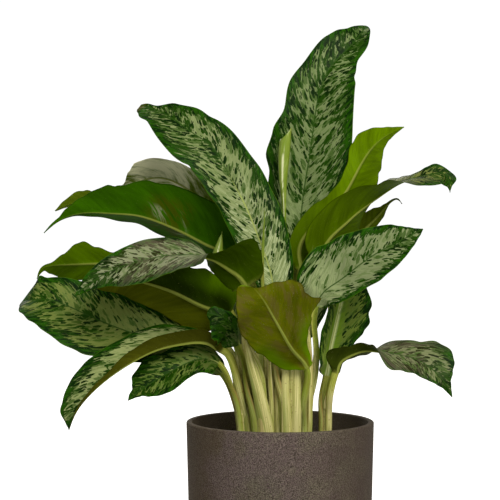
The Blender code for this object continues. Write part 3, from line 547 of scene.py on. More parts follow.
# start: height of the sheath's foot; side: its bearing round the cane in degrees, with 270 to the front
# stalk, rib: picture place and depth of points along them; face: the upper side's looks from base to tip
leafPlans = {
    "leaf_tall_back": dict(
        cane="back_right", start=238, side=125, halfWidth=44, skew=0.88, tip=0.3, wave=3, dark=0.62,
            pale=0.12, ground=(112, 128, 84), under=(70, 104, 18),
        stalk=[(293, 305, 32)], rib=[(297, 262, 32), (304, 190, 33), (310, 153, 34), (317, 104, 36),
            (330, 68, 41), (347, 50, 49), (360, 35, 64), (366, 26, 88)],
        face=[(-0.1, -0.99, 0.1), (-0.1, -1, 0.2), (0, -0.9, 0.4), (0, -0.8, 0.6)],
        left={30: 105, 37: 122, 46: 112, 54: 93, 63: 104, 70: 94, 80: 109, 86: 112, 91: 88, 100: 90},
        right={10: 100, 30: 116, 50: 114, 70: 122, 75: 106, 81: 78, 86: 80, 93: 66, 100: 60}),
    "leaf_tall_left": dict(
        cane="front_right", start=196, side=195, wrap=74, footShare=0.8, halfWidth=35, fold=12, dark=0.35,
            pale=0.5, stain=1, ground=(124, 138, 91), under=(62, 98, 14),
        stalk=[(279, 370, -16)], rib=[(275, 310, -10), (270, 270, -8), (262, 247, -7), (246, 207, -6),
            (227, 171, -4), (212, 147, 0), (194, 134, 6), (165, 114, 22), (141, 105, 40)],
        face=[(0.2, -1, 0.2), (0.2, -0.95, 0.3), (-0.1, -0.75, 0.7)],
        left={30: 90, 42: 94, 52: 112, 62: 135, 74: 172, 90: 178, 97: 260, 100: 400},
        right={40: 105, 50: 110, 62: 100, 72: 112, 81: 133, 88: 118, 94: 50, 100: 100}),
    "leaf_bright_right": dict(
        # its bright yellow-green underside is painted light shining through it, and its darker base is
        # painted shade
        cane="back_right", start=200, side=300, halfWidth=32, fold=16, fresh=-0.5, under=(88, 118, 0),
        stalk=[(303, 320, 4)], rib=[(299, 270, 2), (300, 245, 1), (318, 222, 3), (343, 196, 8),
            (356, 173, 13), (365, 157, 22), (384, 137, 44), (404, 127, 58)],
        face=[(-0.3, 0.9, 0.1), (-0.3, 0.9, 0.15), (-0.2, 0.9, 0.3)],
        left={30: 100, 50: 130, 70: 125, 77: 150, 82: 130, 86: 90, 90: 64, 95: 42, 100: 30},
        right={0: 50, 15: 55, 30: 60, 40: 50, 52: 42, 60: 46, 70: 88, 76: 108, 82: 103, 90: 74, 95: 55,
            100: 40}),
    "leaf_twisted_right": dict(
        cane="right", start=198, side=345, hug=24, wrap=60, footShare=0.8, halfWidth=32, skew=0.85, fold=12,
            dark=0.3, warm=0.6, ground=(106, 114, 58), under=(70, 94, 0),
        stalk=[(307, 345, -9), (308, 300, -10)], rib=[(318, 262, -10), (328, 240, -8), (343, 225, -5),
            (358.5, 211, 0), (370.5, 202, 5), (384, 192.5, 8), (402, 182, 8), (424, 176, 6), (445, 175, 6),
            (450, 192.5, 8)],
        face=[(-0.3, 0.9, 0.2), (-0.4, 0.8, 0.4), (-0.4, 0.6, 0.7), (-0.1, -0.1, 1), (0, -0.6, 0.8),
            (0, -0.8, 0.6)],
        left={50: 100, 56: 170, 61: 150, 66: 75, 71: 50, 76: 58, 81: 72, 85.5: 94, 90: 70, 94: 110,
            97.2: 45, 100: 12},
        right={50: 110, 60: 170, 70: 200, 77: 145, 86: 170, 92: 160, 95: 110, 97.5: 40, 100: 12}),
    "leaf_curled_right": dict(
        cane="back_right", start=250, side=25, halfWidth=18, wave=1, under=(72, 88, 6),
        stalk=[(312, 300, 30)], rib=[(330, 268, 37), (345, 250, 42), (362, 231, 46), (380, 213, 46),
            (390, 202, 44), (397, 199, 42), (402, 204, 40)],
        face=[(-0.3, 0.9, 0.4), (-0.3, 0.85, 0.5)],
        left={40: 100, 50: 80, 60: 70, 70: 62, 78: 42, 85: 24, 94: 22, 100: 6},
        right={50: 100, 60: 90, 70: 78, 78: 40, 84: 22, 94: 20, 100: 6}),
    "leaf_silver_right": dict(
        cane="right", start=188, side=90, halfWidth=37, skew=0.85, fold=24, wave=1.5, pale=-0.3,
            ground=(126, 139, 98), under=(70, 104, 18),
        stalk=[(311.5, 390, 2), (316, 345, -13)], rib=[(316, 306, -26), (324, 292, -29), (339, 281, -32),
            (355, 268.6, -36), (379, 252, -41), (408, 237, -45), (423, 229, -47)],
        face=[(-0.3, -1, 0.35), (-0.25, -0.9, 0.36)],
        left={0: 100, 10: 125, 25: 132, 40: 118, 60: 105, 80: 106, 86: 93, 91: 78, 96: 56, 100: 40},
        right={0: 70, 20: 85, 40: 93, 56: 113, 70: 125, 79: 122, 88: 107, 96: 85, 100: 50}),
    "leaf_broad_front": dict(
        cane="right", start=178, side=250, wrap=60, footShare=0.8, halfWidth=46, skew=1.05, tip=0.3, fold=8,
            wave=3, warm=1, fresh=1, under=(86, 92, 4),
        stalk=[(304, 402, -20)], rib=[(306, 367, -30), (295, 353, -46), (283.6, 335.5, -66),
            (269.3, 310, -86), (261, 297, -95), (255, 290, -93), (250, 287.5, -76)],
        face=[(-0.3, 0.8, 0.45), (-0.32, 0.8, 0.49), (-0.32, 0.8, 0.5), (-0.3, 0.75, -0.5)],
        left={0: 50, 10: 45, 20: 50, 30: 62, 40: 82, 48: 126, 55: 112, 62: 112, 70: 126, 74: 120, 80: 90,
            90: 60, 100: 50},
        right={0: 70, 10: 76, 20: 72, 30: 70, 40: 79, 50: 87, 58: 98, 70: 102, 76: 106, 85: 110, 90: 95,
            100: 60}),
    "leaf_twisted_left": dict(
        cane="front_left", start=222, side=292, hug=26, wrap=84, footShare=0.8, halfWidth=40, skew=0.62,
            fold=10, dark=0.5, warm=0.6, ground=(128, 136, 104), under=(50, 72, 0),
        stalk=[(247, 345, -37), (248, 312, -46)], rib=[(247, 286, -52), (240, 277, -55), (228, 268, -59),
            (214, 259, -62), (196, 255, -65), (165, 256, -71), (130, 264, -80), (100, 277, -87),
            (75, 296, -93)],
        face=[(0.2, 0.98, 0.1), (-0.2, 0.32, 0.95), (-0.1, -0.55, 0.8), (0.1, -0.7, 0.7), (0.1, -0.7, 0.7),
            (0.1, -0.7, 0.7)],
        left={0: 97, 4: 98, 8: 114, 12: 128, 16: 134, 18: 125, 20: 100, 22: 68, 25: 50, 28: 80, 30: 150,
            32: 180, 35: 135, 38: 116, 44: 110, 50: 120, 60: 128, 76: 142, 86: 115, 93: 75, 100: 50},
        right={0: 62, 5: 63, 12: 64, 16: 67, 20: 87, 22: 115, 26: 150, 28: 110, 30: 94, 34: 98, 40: 90,
            50: 90, 60: 82, 70: 88, 80: 100, 90: 93, 100: 60}),
    "leaf_long_left": dict(
        cane="front_left", start=198, side=85, halfWidth=51, skew=0.85, tip=-0.5, fold=32, stain=1,
            under=(48, 90, 0),
        stalk=[(260, 345, 2)], rib=[(248, 266, 10), (232, 254, 13), (213, 247, 16), (191, 236, 20),
            (159, 221.6, 25), (137, 215, 28), (112, 213, 28), (80, 213, 26), (58, 221, 20), (44, 233, 12)],
        face=[(-0.1, 0.75, 0.65), (0, 0.75, 0.65), (0, 0.72, 0.69), (0, 0.72, 0.69)],
        left={30: 100, 45: 96, 50: 90, 55: 99, 61: 102, 65: 114, 70: 142, 75: 145, 80: 122, 86: 80, 91: 36,
            100: 30},
        right={20: 90, 40: 76, 55: 80, 65: 98, 75: 74, 85: 35, 92: 20, 100: 30}),
    "leaf_arched_left": dict(
        # its bright underside tint and glow are painted light: a painted reflection on a side that faces down
        # into shade
        cane="back_left", start=238, side=156, wing=5, halfWidth=26, skew=0.9, glow=1, under=(100, 122, 18),
        stalk=[(257.3, 320, 41)], rib=[(246, 262, 54), (222, 222, 64), (190, 190, 68), (160, 177, 68),
            (136, 182, 64), (108, 195, 58), (82, 202, 52), (66, 205, 48), (55, 211, 44)],
        face=[(0, 0.66, 0.74), (0, 0.6, 0.78), (0, 0.6, 0.78)],
        left={30: 100, 50: 102, 58: 130, 62: 132, 65: 95, 69: 32, 80: 40, 86: 130, 90: 165, 95: 110,
            100: 60}),
    "leaf_hooked_left": dict(
        cane="back_left", start=185, side=195, halfWidth=28, fold=12, under=(70, 98, 0),
        stalk=[(246, 350, 14), (225, 302, 22)], rib=[(196, 277, 26), (155, 266, 32), (112, 263, 34),
            (76, 264, 30), (56, 265, 24), (42, 269, 16), (37, 279, 11)],
        face=[(0, 0.85, 0.5), (0, 0.9, 0.4)],
        left={30: 50, 50: 46, 60: 80, 68: 124, 72: 120, 80: 72, 88: 22, 100: 20},
        right={50: 100, 80: 115, 88: 90, 93: 40, 100: 20}),
    "leaf_silver_left": dict(
        cane="left", start=200, side=150, hug=26, wrap=60, footShare=0.8, halfWidth=40, skew=1.15, tip=0.9,
            fold=12, dark=0.15, ground=(106, 120, 58), under=(60, 92, 14),
        stalk=[(236, 368, 4), (224, 346, -2)], rib=[(205, 343, -10), (165, 340, -16), (139, 335, -22),
            (118, 328, -26), (96, 319, -28), (72, 308, -30), (48, 300, -30), (31, 300, -24), (22, 302, -8)],
        face=[(0.1, -0.85, 0.5), (0, -0.85, 0.5), (-0.2, -0.7, 0.7)],
        left={30: 100, 45: 112, 57: 133, 68: 146, 79: 154, 86: 142, 91: 106, 96: 62, 100: 40},
        right={50: 100, 84: 105, 90: 134, 95: 190, 100: 240}),
    "leaf_drooping_left": dict(
        cane="left", start=182, side=252, wrap=70, footShare=0.8, wing=5, halfWidth=37, skew=1.2, fold=22,
            foldLeft=82, wave=1, dark=0.2, fresh=-0.5, ground=(140, 152, 98), under=(76, 80, 14),
        stalk=[(235, 368, -27), (228, 351, -36)], rib=[(221.5, 347.1, -42), (212, 343.1, -50),
            (201, 341, -56), (183, 342.5, -66), (159, 348, -76), (135.5, 359, -84), (110, 376, -90),
            (88, 396, -92), (75, 414, -90), (69, 430, -86)],
        face=[(0, -0.25, 0.95), (-0.1, -0.35, 0.9), (-0.4, -0.6, 0.6)],
        left={0: 80, 10: 70, 30: 55, 50: 42, 70: 26, 85: 16, 100: 10},
        right={0: 900, 1.5: 600, 3: 340, 5: 210, 8: 130, 10: 106, 60: 106, 72: 118, 82: 134, 90: 142,
            95: 175, 98: 120, 100: 60}),
    "leaf_small_left": dict(
        cane="left_outer", start=184, side=242, wrap=56, footShare=0.3, halfWidth=25, fold=10, dark=0.6,
            fresh=-0.4, ground=(104, 122, 56), under=(60, 92, 14),
        stalk=[(235, 392, -26), (228, 376, -31)], rib=[(219, 363, -37), (208, 359, -42), (190, 362, -50),
            (172, 371, -58), (155, 381, -64), (140, 391, -68), (128, 400.5, -70)],
        face=[(0.1, -0.75, 0.65), (0.1, -0.75, 0.65)],
        left={0: 130, 10: 140, 18: 102, 30: 74, 42: 86, 55: 102, 75: 110, 82: 104, 88: 62, 94: 42, 100: 30},
        right={50: 105, 70: 140, 84: 150, 88: 110, 91: 72, 96: 75, 100: 40}),
    "leaf_shaded_left": dict(
        cane="left_outer", start=190, side=140, wing=5, halfWidth=22, fold=12, wave=1, dark=0.4,
            # its darker ground is painted shade: the leaf lies in shade behind its neighbours
            ground=(88, 106, 56), under=(50, 80, 12),
        stalk=[(229.5, 387, -14)], rib=[(221, 373, -5), (208, 364, 3), (190, 359, 9), (168, 354, 13),
            (150, 354, 15), (137, 361, 15)],
        face=[(0.1, -0.7, 0.7), (0.1, -0.7, 0.7)]),
    "leaf_green_left": dict(
        cane="left", start=206, side=344, wrap=60, footShare=0.6, wing=4.5, halfWidth=32, skew=1.12,
            fold=12, fresh=0.9, under=(34, 52, 0), underRight=(80, 88, 6),
        stalk=[(244, 366, -10), (237, 342, -17)], rib=[(228, 317, -21), (207, 308, -24), (180, 295, -30),
            (150, 284, -36), (122, 280, -39), (97, 288, -39)],
        face=[(0, 0.95, 0.25), (0, 0.95, 0.3)],
        left={0: 340, 2: 280, 5: 255, 10: 220, 15: 180, 20: 150, 25: 140, 30: 134, 40: 107, 50: 100,
            100: 100},
        right={0: 160, 6: 160, 12: 150, 20: 130, 30: 112, 45: 100, 100: 100}),
    "leaf_dark_centre": dict(
        cane="front_left", start=188, side=192, wing=5, halfWidth=22, tip=0.6, wave=1, dark=1.5,
            # its very dark ground is painted shade: the leaf lies in shade in the middle of the plant
            ground=(66, 80, 42), under=(50, 80, 12),
        stalk=[(248, 376, -24), (244.5, 358, -29)], rib=[(240, 345, -33), (234, 328, -40), (222, 317, -46),
            (207, 313, -46)],
        face=[(0.1, -0.9, 0.45), (0.1, -0.9, 0.45)],
        left={0: 120, 10: 150, 60: 155, 70: 190, 78: 210, 86: 160, 93: 95, 100: 100},
        right={0: 30, 15: 35, 30: 50, 50: 46, 70: 50, 80: 60, 90: 80, 100: 100}),
    "leaf_upright_right": dict(
        cane="right_outer", start=186, side=185, wrap=56, footShare=0.3, halfWidth=35, skew=1.1, fold=31,
            dark=0.15, pale=0.7, fresh=1, glow=1, ground=(104, 124, 48), under=(70, 104, 18),
        stalk=[(322, 404, 0)], rib=[(327, 376, 2), (329, 355, 2), (333, 335.5, 3), (340, 305, 5),
            (348, 275, 8), (354, 252, 12)],
        face=[(0.54, -0.84, 0.1), (0.54, -0.84, 0.1)],
        left={0: 100, 10: 100, 20: 90, 30: 82, 50: 78, 100: 80},
        right={0: 80, 10: 80, 20: 108, 29: 78, 40: 100, 49: 117, 56: 106, 64: 118, 76: 100, 100: 100}),
    "leaf_low_right": dict(
        cane="right_outer", start=192, side=310, wrap=56, footShare=0.3, halfWidth=25, tip=0.4, fold=10,
            dark=0.7, warm=0.65, ground=(114, 121, 86), under=(48, 60, 8),
        stalk=[(329, 398, -10)], rib=[(335, 372, -14), (341, 361, -16), (352, 354, -18), (364, 350, -20),
            (385, 352, -24), (405, 356, -29), (423, 363, -34), (437, 374, -38), (447, 387, -40),
            (452, 397, -40)],
        face=[(-0.3, 0.8, 0.5), (-0.2, 0.5, 0.8), (0, -0.5, 0.85), (0.1, -0.75, 0.65), (0.2, -0.75, 0.55)],
        left={0: 60, 10: 36, 20: 60, 30: 100, 40: 115, 50: 95, 60: 122, 70: 174, 77: 194, 83: 170, 87: 120,
            91: 66, 96: 40, 100: 30},
        right={0: 80, 8: 150, 15: 90, 20: 56, 30: 65, 37: 160, 50: 180, 60: 142, 70: 116, 80: 98, 87: 82,
            92: 56, 100: 40}),
    "leaf_back_left": dict(
        cane="back_left", start=229, side=58, wing=5, wave=3, dark=0.25,
        stalk=[(265, 345, 57)], rib=[(251, 300, 68), (241, 265, 88), (233, 236, 116), (227, 225, 152),
            (223, 235, 190), (219, 255, 214)],
        face=[(0.1, -0.6, 0.8), (0.1, -0.1, 1), (0, 0.4, 0.9)]),
    "leaf_back_right": dict(
        cane="right_outer", start=190, side=75, wave=3, dark=0.25,
        stalk=[(326, 396, 14), (329, 350, 40)], rib=[(331, 300, 64), (336, 262, 84), (343, 238, 108),
            (349, 230, 138), (353, 238, 168), (355, 258, 190)],
        face=[(-0.2, -0.6, 0.8), (-0.1, -0.1, 1), (0, 0.4, 0.9)]),
    "leaf_back_upright": dict(
        cane="back_left", start=256, side=358, wave=3, dark=0.25,
        stalk=[(274.5, 315, 49)], rib=[(279, 270, 66), (281, 232, 86), (283, 202, 110), (285, 186, 144),
            (287, 190, 178), (289, 206, 204)],
        face=[(0, -0.7, 0.7), (0, -0.1, 1), (0, 0.4, 0.9)]),
    "leaf_back_low_left": dict(
        cane="back_left", start=188, side=98, halfWidth=35, wave=3, dark=0.25,
        stalk=[(255, 382, 42)], rib=[(240, 335, 60), (222, 306, 84), (203, 293, 116), (184, 296, 150),
            (169, 312, 176), (160, 330, 190)],
        face=[(0.3, -0.4, 0.85), (0.1, 0.1, 1), (-0.3, 0.4, 0.85)]),
    "leaf_back_low_right": dict(
        cane="back_right", start=186, side=70, halfWidth=34, wave=3, dark=0.25,
        stalk=[(300, 388, 44)], rib=[(303, 340, 68), (311, 308, 96), (323, 292, 126), (338, 288, 158),
            (350, 294, 186), (358, 308, 206)],
        face=[(-0.3, -0.4, 0.85), (-0.1, 0.1, 1), (0.3, 0.4, 0.85)]),
    "leaf_back_low": dict(
        cane="front_right", start=214, side=90, halfWidth=33, wave=3, dark=0.25,
        stalk=[(285, 365, 8), (283, 335, 40)], rib=[(279, 308, 68), (277, 292, 98), (276, 287, 130),
            (273, 296, 166), (271, 314, 194), (270, 336, 210)],
        face=[(0, -0.5, 0.85), (0, 0.1, 1), (0, 0.5, 0.8)]),
}


def bladeOutline(share, skew, tip):
    # half-width as a share of the widest; tip over 0 fills out the end, and under 0 draws it out
    share = np.clip(share, 0, 1)
    tapering = np.abs(np.sin(np.pi * share ** (0.75 * skew))) ** leafSizes["outlinePower"]
    rounded = np.sqrt(1 - share**4) * np.minimum(1, tapering + share) if tip > 0 else 0
    return tapering + (rounded - tapering) * abs(tip) * ease((share - 0.45) / 0.4)


def marginShape(points, share):
    # how much wider or narrower than the outline a leaf is at one margin, eased from point to point
    stops, values = np.array(list(points.items())).T / 100
    first = np.clip(np.searchsorted(stops, share) - 1, 0, len(stops) - 2)
    turn = ease((share - stops[first]) / (stops[first + 1] - stops[first]))
    return values[first] * (1 - turn) + values[first + 1] * turn


def facingAlong(share, faces, stalkFace):
    # the way the upper side looks at each row, turning evenly from the cane's side to the tip
    faces = unit(np.array(faces, float))
    place = np.clip(share, 0, 1)[:, None] * (len(faces) - 1)
    first = np.minimum(place.astype(int), len(faces) - 2)
    onBlade = faces[first[:, 0]] * (1 - place + first) + faces[first[:, 0] + 1] * (place - first)
    turn = ease(1 + share)[:, None]
    return unit(np.where(share[:, None] < 0, stalkFace * (1 - turn) + faces[0] * turn, onBlade))


def smoothRows(rows, reach):
    # a running average that leaves the two ends alone
    count = len(rows)
    spread = np.exp(-0.5 * (np.subtract.outer(np.arange(count), np.arange(count)) / reach) ** 2)
    return spread @ rows / spread.sum(1, keepdims=True)


def square(facing, direction):
    # facing, turned as little as it takes to stand square to the direction
    return unit(facing - (facing * direction).sum(-1, keepdims=True) * direction)


def onto(*values):
    # the numbers of a vector for each point of a grid
    return np.stack(np.broadcast_arrays(*values), axis=2)


def growLeaf(name, plan, number):
    s = leafSizes
    cane = canes[plan["cane"]]
    radius = cane["radius"]
    foot, _, rising = caneLine(cane)
    up = unit(rising)
    bearing = math.radians(plan["side"])
    outward = np.array([math.cos(bearing), math.sin(bearing), 0])
    outward = unit(outward - outward.dot(up) * up)
    start = foot + rising * (plan["start"] - caneSizes["foot"]) + outward * (radius + s["sheathGap"])
    hug = plan["hug"]
    guides = [start + up * hug] + [seenAt(*p) for p in plan["stalk"] + plan["rib"]]
    dense, travel, guideTravel = smoothPath(guides, up)
    base = guideTravel[1 + len(plan["stalk"])]
    blade = travel[-1] - base

    # rows from the sheath's foot to the tip
    skirt = plan["start"] - s["skirtEnd"]
    tipward = np.linspace(0, 1, s["bladeRows"])
    tipward = tipward - s["rowCrowding"] * np.sin(2 * np.pi * tipward)
    stops = np.concatenate([
        np.linspace(-hug - skirt, -hug, s["skirtRows"], endpoint=False),
        np.linspace(-hug, 0, s["sheathRows"], endpoint=False),
        np.linspace(0, base, s["petioleRows"], endpoint=False), base + blade * tipward])
    place = along(travel, dense, stops) + np.minimum(stops, 0)[:, None] * up
    direction = unit(np.gradient(place, stops, axis=0))
    share = np.maximum(np.where(stops < base, (stops - base) / base, (stops - base) / blade), -1)
    facing = square(smoothRows(facingAlong(share, plan["face"], -outward), 4), direction)
    across = np.cross(direction, facing)

    # one section for each row; a runs from -1 at the left margin to 1, and the two margins wave out of step
    a = leafColumns[None, :]
    t = share[:, None]
    phase = np.where(a < 0, 0, s["outOfStep"])
    onBlade = np.maximum(t, 0)
    inBlade = ease(t / s["baseShare"])
    swell = np.sin(np.pi * onBlade)
    sheath = 1 - ease(stops[:, None] / s["sheathFade"])
    wing = 1 - ease(stops[:, None] / s["wingFade"])
    slim, slimWing = min(1, radius / 5), min(1, radius / 6)
    petiole = s["petioleHalfWidth"] * slim
    petiole = petiole + (plan["wing"] * slimWing - petiole) * wing
    outline = bladeOutline(t, plan["skew"], plan["tip"])
    uneven = 1 + s["unevenness"] * np.sin(2 * np.pi * (2.3 * t + phase * 1.7 + number * 0.37)) * inBlade
    margins = np.where(a < 0, marginShape(plan["left"], t), marginShape(plan["right"], t))
    outline = outline * (1 + (margins - 1) * ease(t / 0.03))
    halfWidth = np.maximum(plan["halfWidth"] * outline * uneven, petiole * (1 - onBlade**0.5))
    halfWidth = np.maximum(halfWidth, s["tipHalfWidth"])
    d = a * halfWidth
    rib = np.minimum(halfWidth / 3, s["petioleHalfWidth"] * slim * (1 - 0.8 * onBlade))
    keel = s["petioleDepth"] * slim * (1 - 0.45 * inBlade) * (1 - onBlade) ** 0.8
    fold = np.where(a < 0, plan.get("foldLeft", plan["fold"]), plan["fold"])
    tilt = np.radians(fold) * (1.1 - 0.2 * np.abs(a)) * inBlade
    x = d * np.cos(tilt)
    crease = np.sqrt(d * d + s["creaseRadius"] ** 2) - s["creaseRadius"]
    ripple = plan["wave"] * a**2 * np.sin(2 * np.pi * (s["waves"] * t + phase)) * swell
    crinkle = np.sin(2 * np.pi * (s["crinkles"] * t + phase * 1.3 + number * 0.21)) * swell**0.5
    height = crease * np.sin(tilt) + (ripple + 0.3 * plan["wave"] * a**4 * crinkle)
    roundness = np.sqrt(1 - a**2) * (1 - inBlade) + np.exp(-((d / rib) ** 2)) * inBlade
    thickness = s["thickness"] * (1 - 0.45 * a**4 * inBlade)
    groove = s["ribGroove"] * np.exp(-((d / s["ribGrooveWidth"]) ** 2)) * inBlade * (1 - onBlade)
    top = height + thickness / 2 - (s["petioleGroove"] * slim * (1 - a**2) * (1 - inBlade) + groove)
    bottom = height - thickness / 2 - keel * roundness

    # near its foot the stalk opens into a crescent that hugs the cane
    down = np.clip((-hug - stops) / skirt, 0, 1)[:, None]
    angle = a * (s["sheathAngle"] + (math.radians(plan["wrap"]) - s["sheathAngle"]) * ease(down))
    inner = radius + s["sheathGap"] * (1 - 0.5 * down)
    thin = 1 - (1 - plan["footShare"]) * ease(down / 0.6)
    outer = inner + (s["sheathEdge"] + s["sheathThickness"] * slimWing * (1 - a**2)) * thin
    sides = []
    for flat, reach in ((top, inner), (bottom, outer)):
        right = x * (1 - sheath) + reach * np.sin(angle) * sheath
        out = flat * (1 - sheath) + (inner - reach * np.cos(angle)) * sheath
        sides.append(place[:, None] + across[:, None] * right[..., None] + facing[:, None] * out[..., None])

    # what the finishes read: place along the side veins, place on the blade, and the plan's colours
    slant = (s["veinSlant"] * np.abs(d) + s["veinCurve"] * d * d / plan["halfWidth"]) * inBlade
    flow = onto((stops[:, None] - base - slant) * mm, d * mm, number * 1.37)
    mesh = loftMesh(name, sides, flow, onto(t, np.abs(a), np.abs(d) / rib))
    tints = [np.array(paint(*plan.get(key, plan["under"]))[:3]) for key in ("under", "underRight")]
    rightward = np.tile(ease(d.reshape(-1, 1) / 8 + 0.5), (2, 1))
    setVectors(mesh, "tint", tints[0] * (1 - rightward) + tints[1] * rightward)
    setVectors(mesh, "silver", paint(*plan["ground"])[:3])
    setVectors(mesh, "mark", [plan[key] for key in ("dark", "warm", "pale")])
    setVectors(mesh, "mood", [plan[key] for key in ("fresh", "stain", "glow")])
    return mesh


def setVectors(mesh, name, values):
    # a vector for each point of the mesh, or one for all of them
    values = np.broadcast_to(values, (len(mesh.vertices), 3)).astype(np.float32)
    mesh.attributes.new(name, "FLOAT_VECTOR", "POINT").data.foreach_set("vector", values.ravel())


def loftMesh(name, sides, flow, spot):
    # a closed shell from an upper and a lower grid of points; slot 0 is the upper face, 1 the lower one
    def quads(*corners):
        return np.stack(corners, axis=-1).reshape(-1, 4)

    rows, columns = sides[0].shape[:2]
    above = np.arange(rows * columns).reshape(rows, columns)
    below = above + rows * columns
    upper = quads(above[:-1, :-1], above[:-1, 1:], above[1:, 1:], above[1:, :-1])
    faces = np.concatenate([
        upper, upper[:, ::-1] + rows * columns,
        quads(above[:-1, 0], above[1:, 0], below[1:, 0], below[:-1, 0]),
        quads(above[:-1, -1], below[:-1, -1], below[1:, -1], above[1:, -1]),
        quads(above[0, :-1], below[0, :-1], below[0, 1:], above[0, 1:]),
        quads(above[-1, :-1], above[-1, 1:], below[-1, 1:], below[-1, :-1])])
    mesh = bpy.data.meshes.new(name)
    mesh.from_pydata((np.concatenate(sides).reshape(-1, 3) * mm).tolist(), [], faces.tolist())
    mesh.polygons.foreach_set("material_index", (np.arange(len(faces)) >= len(upper)).astype(int))
    mesh.shade_smooth()
    setVectors(mesh, "flow", np.tile(flow.reshape(-1, 3), (2, 1)))
    setVectors(mesh, "spot", np.tile(spot.reshape(-1, 3), (2, 1)))
    return mesh


def upperRecipe(start):
    # silver grey-green with dark dabs drawn out along the side veins, which merge at the margin and the tip
    flow, spot, silver = (attribute(start, name) for name in ("flow", "spot", "silver"))
    q, x = parts(flow)[:2]
    t, edge = parts(spot)[:2]
    dark, warm, pale = parts(attribute(start, "mark"))
    fresh, stain, glow = parts(attribute(start, "mood"))
    cloud = streaks(flow, 42, 30)
    patch = streaks(flow, 150, 112, 3, 0.58, 0.9)
    broad = streaks(flow, 96, 84, 3, 0.58, 0.8)
    ragged = streaks(flow, 760, 380, 2, 0.6, 0.4)
    silk = streaks(flow, 640, 84, 3, 0.6)

    # how much green there is: sparse dabs inside, a thick cluster beside the margin and towards the tip
    # a pale midrib, painted brighter as a painted highlight
    shining = rise(abs(x), 4.5 * mm, 0.8 * mm) * rise(t, 0.9, 0.4) * glow
    freshRib = rise(abs(x), 13 * mm, 6 * mm) * rise(t, 0.8, 0.5) * fresh
    byRib = rise(edge, 0.26, 0.04) * rise(t, 0.35, 0.8)
    crowd = rise(edge, 0.5, 0.95) + byRib * 0.4 + dark * 0.7 * rise(t, -0.1, 0.5) + rise(t, 0.45, 1.0) * 0.5
    crowd = crowd + (cloud - 0.5) * 2.0 + 0.02 - rise(t, 0.34, 0.05) * 0.3 - shining - freshRib
    shadedBase = rise(fresh, 0.0, -0.5)
    ground = coats(
        mix(rise(cloud, 0.35, 0.65), shade(silver, 1.1), shade(silver, 0.9)),
        (rise(silk, 0.42, 0.72) * 0.4, shade(silver, 1.45)),
        # painted highlight: a paler shine towards the base, where the base isn't shaded
        (rise(t, 0.36, 0.12) * rise(silk, 0.3, 0.62) * (1 - shadedBase), shade(silver, 1.75)),
        # painted shade: below nought the base is darker
        (rise(t, 0.5, 0.2) * shadedBase * 0.8, shade(silver, 0.5)),
        # painted highlight: a whitish shine over the base
        (rise(t, 0.62, 0.25) * rise(silk, 0.42, 0.62) * stain * 0.6, (202, 214, 172)),
        (freshRib * 0.85, mix(silk, paint(92, 132, 12), paint(126, 158, 50))),
        (shining * 0.95, (224, 232, 172)),
    )

    def dabs(lengthwise, crosswise, shift, share, size):
        # separate brush-like dabs: only some of the cells hold one
        wobble = streaks(flow, lengthwise * 1.5, crosswise * 1.5, 2, 0.5)
        moved = stretch(flow, (lengthwise, crosswise, 1))
        moved = moved.node(
            "ShaderNodeVectorMath", {"operation": "ADD"}, {0: moved, 1: (0.37 * shift, 0.71 * shift, 0)})
        cell = moved.node("ShaderNodeTexVoronoi", None, {"Vector": moved, "Scale": 1.0, "Randomness": 1.0})
        chance = parts(Wire(cell.tree, cell.socket.node.outputs["Color"]))[0]
        reach = ((crowd * 0.55 + share - chance) * 4).smaller(crowd * 0.1 + size)
        return rise(cell + (wobble - 0.5) * 0.6, reach, reach - 0.05)

    faint = rise(patch + (silk - 0.5) * 0.25 + crowd * 0.04, 0.54, 0.57)
    blotch = rise(broad + crowd * 0.1 + (patch - 0.5) * 0.4, 0.66, 0.675)
    spots = dabs(185, 165, 1, 0.29, 0.51).larger(dabs(360, 300, 2, 0.06, 0.46)).larger(blotch)
    deep = mix(rise(broad, 0.4, 0.6), paint(8, 34, 0), paint(30, 64, 2))
    # under the painted sheen the dark dabs turn brown, partly their own colour and partly painted reflection
    deep = mix(warm * rise(t, 0.85, 0.6), deep, paint(46, 36, 20))
    band = rise(edge + (patch - 0.5) * 0.6 + (ragged - 0.5) * 0.2 + rise(t, 0.5, 0.95) * 0.1, 0.85, 0.87)
    band = band.larger(rise(t + (patch - 0.5) * 0.3, 0.95, 0.97))
    line = rise(abs(x), 1.15 * mm, 0.6 * mm)
    paleRib = rise(t + (ragged - 0.5) * 0.2, pale + 0.1, pale - 0.1)
    sheen = rise(cloud * 0.6 + broad * 0.4 + (silk - 0.5) * 0.5, 0.44, 0.6) * rise(t, 0.95, 0.6) * warm
    stalk, stripes = stalkColour(flow, spot)
    colour = coats(
        ground,
        (faint * 0.5, (82, 110, 48)),
        (dabs(150, 115, 3, 0.44, 0.50) * 0.75, mix(ragged, paint(56, 90, 20), paint(40, 72, 8))),
        (spots, deep),
        (band, mix(rise(broad, 0.42, 0.58), paint(8, 40, 0), paint(34, 80, 0))),
        (rise(streaks(flow, 900, 620, 1), 0.68, 0.72) * 0.5 * rise(edge, 0.97, 0.9), (120, 138, 84)),
        (rise(t + (ragged - 0.5) * 0.02, 0.975, 0.985) * stain * 0.8, (72, 70, 18)),
        (rise(edge, 0.975, 0.99) * 0.45, (96, 126, 30)),
        (line * paleRib, (158, 172, 96)),  # the midrib: pale near the base, then a thin dark line
        (line * (1 - paleRib) * 0.85, (40, 72, 16)),
        # painted reflection: a brown-grey sheen over the pattern
        (sheen * 0.5, mix(silk, paint(112, 104, 84), paint(150, 144, 122))),
        (rise(t, 0.015, -0.01), stalk),
    )
    veins = (q * 700 + (cloud - 0.5) * 4).sine()
    relief = veins * 0.3 * rise(edge, 0.0, 0.12) * rise(edge, 1.0, 0.8) + silk * 0.3 + patch * 0.2
    rough = (patch - 0.5) * 0.25 + stripes * 0.04 + 0.40
    return {"Base Color": colour, "Roughness": rough, "Normal": bump(relief, 0.5 * mm, 0.6)}


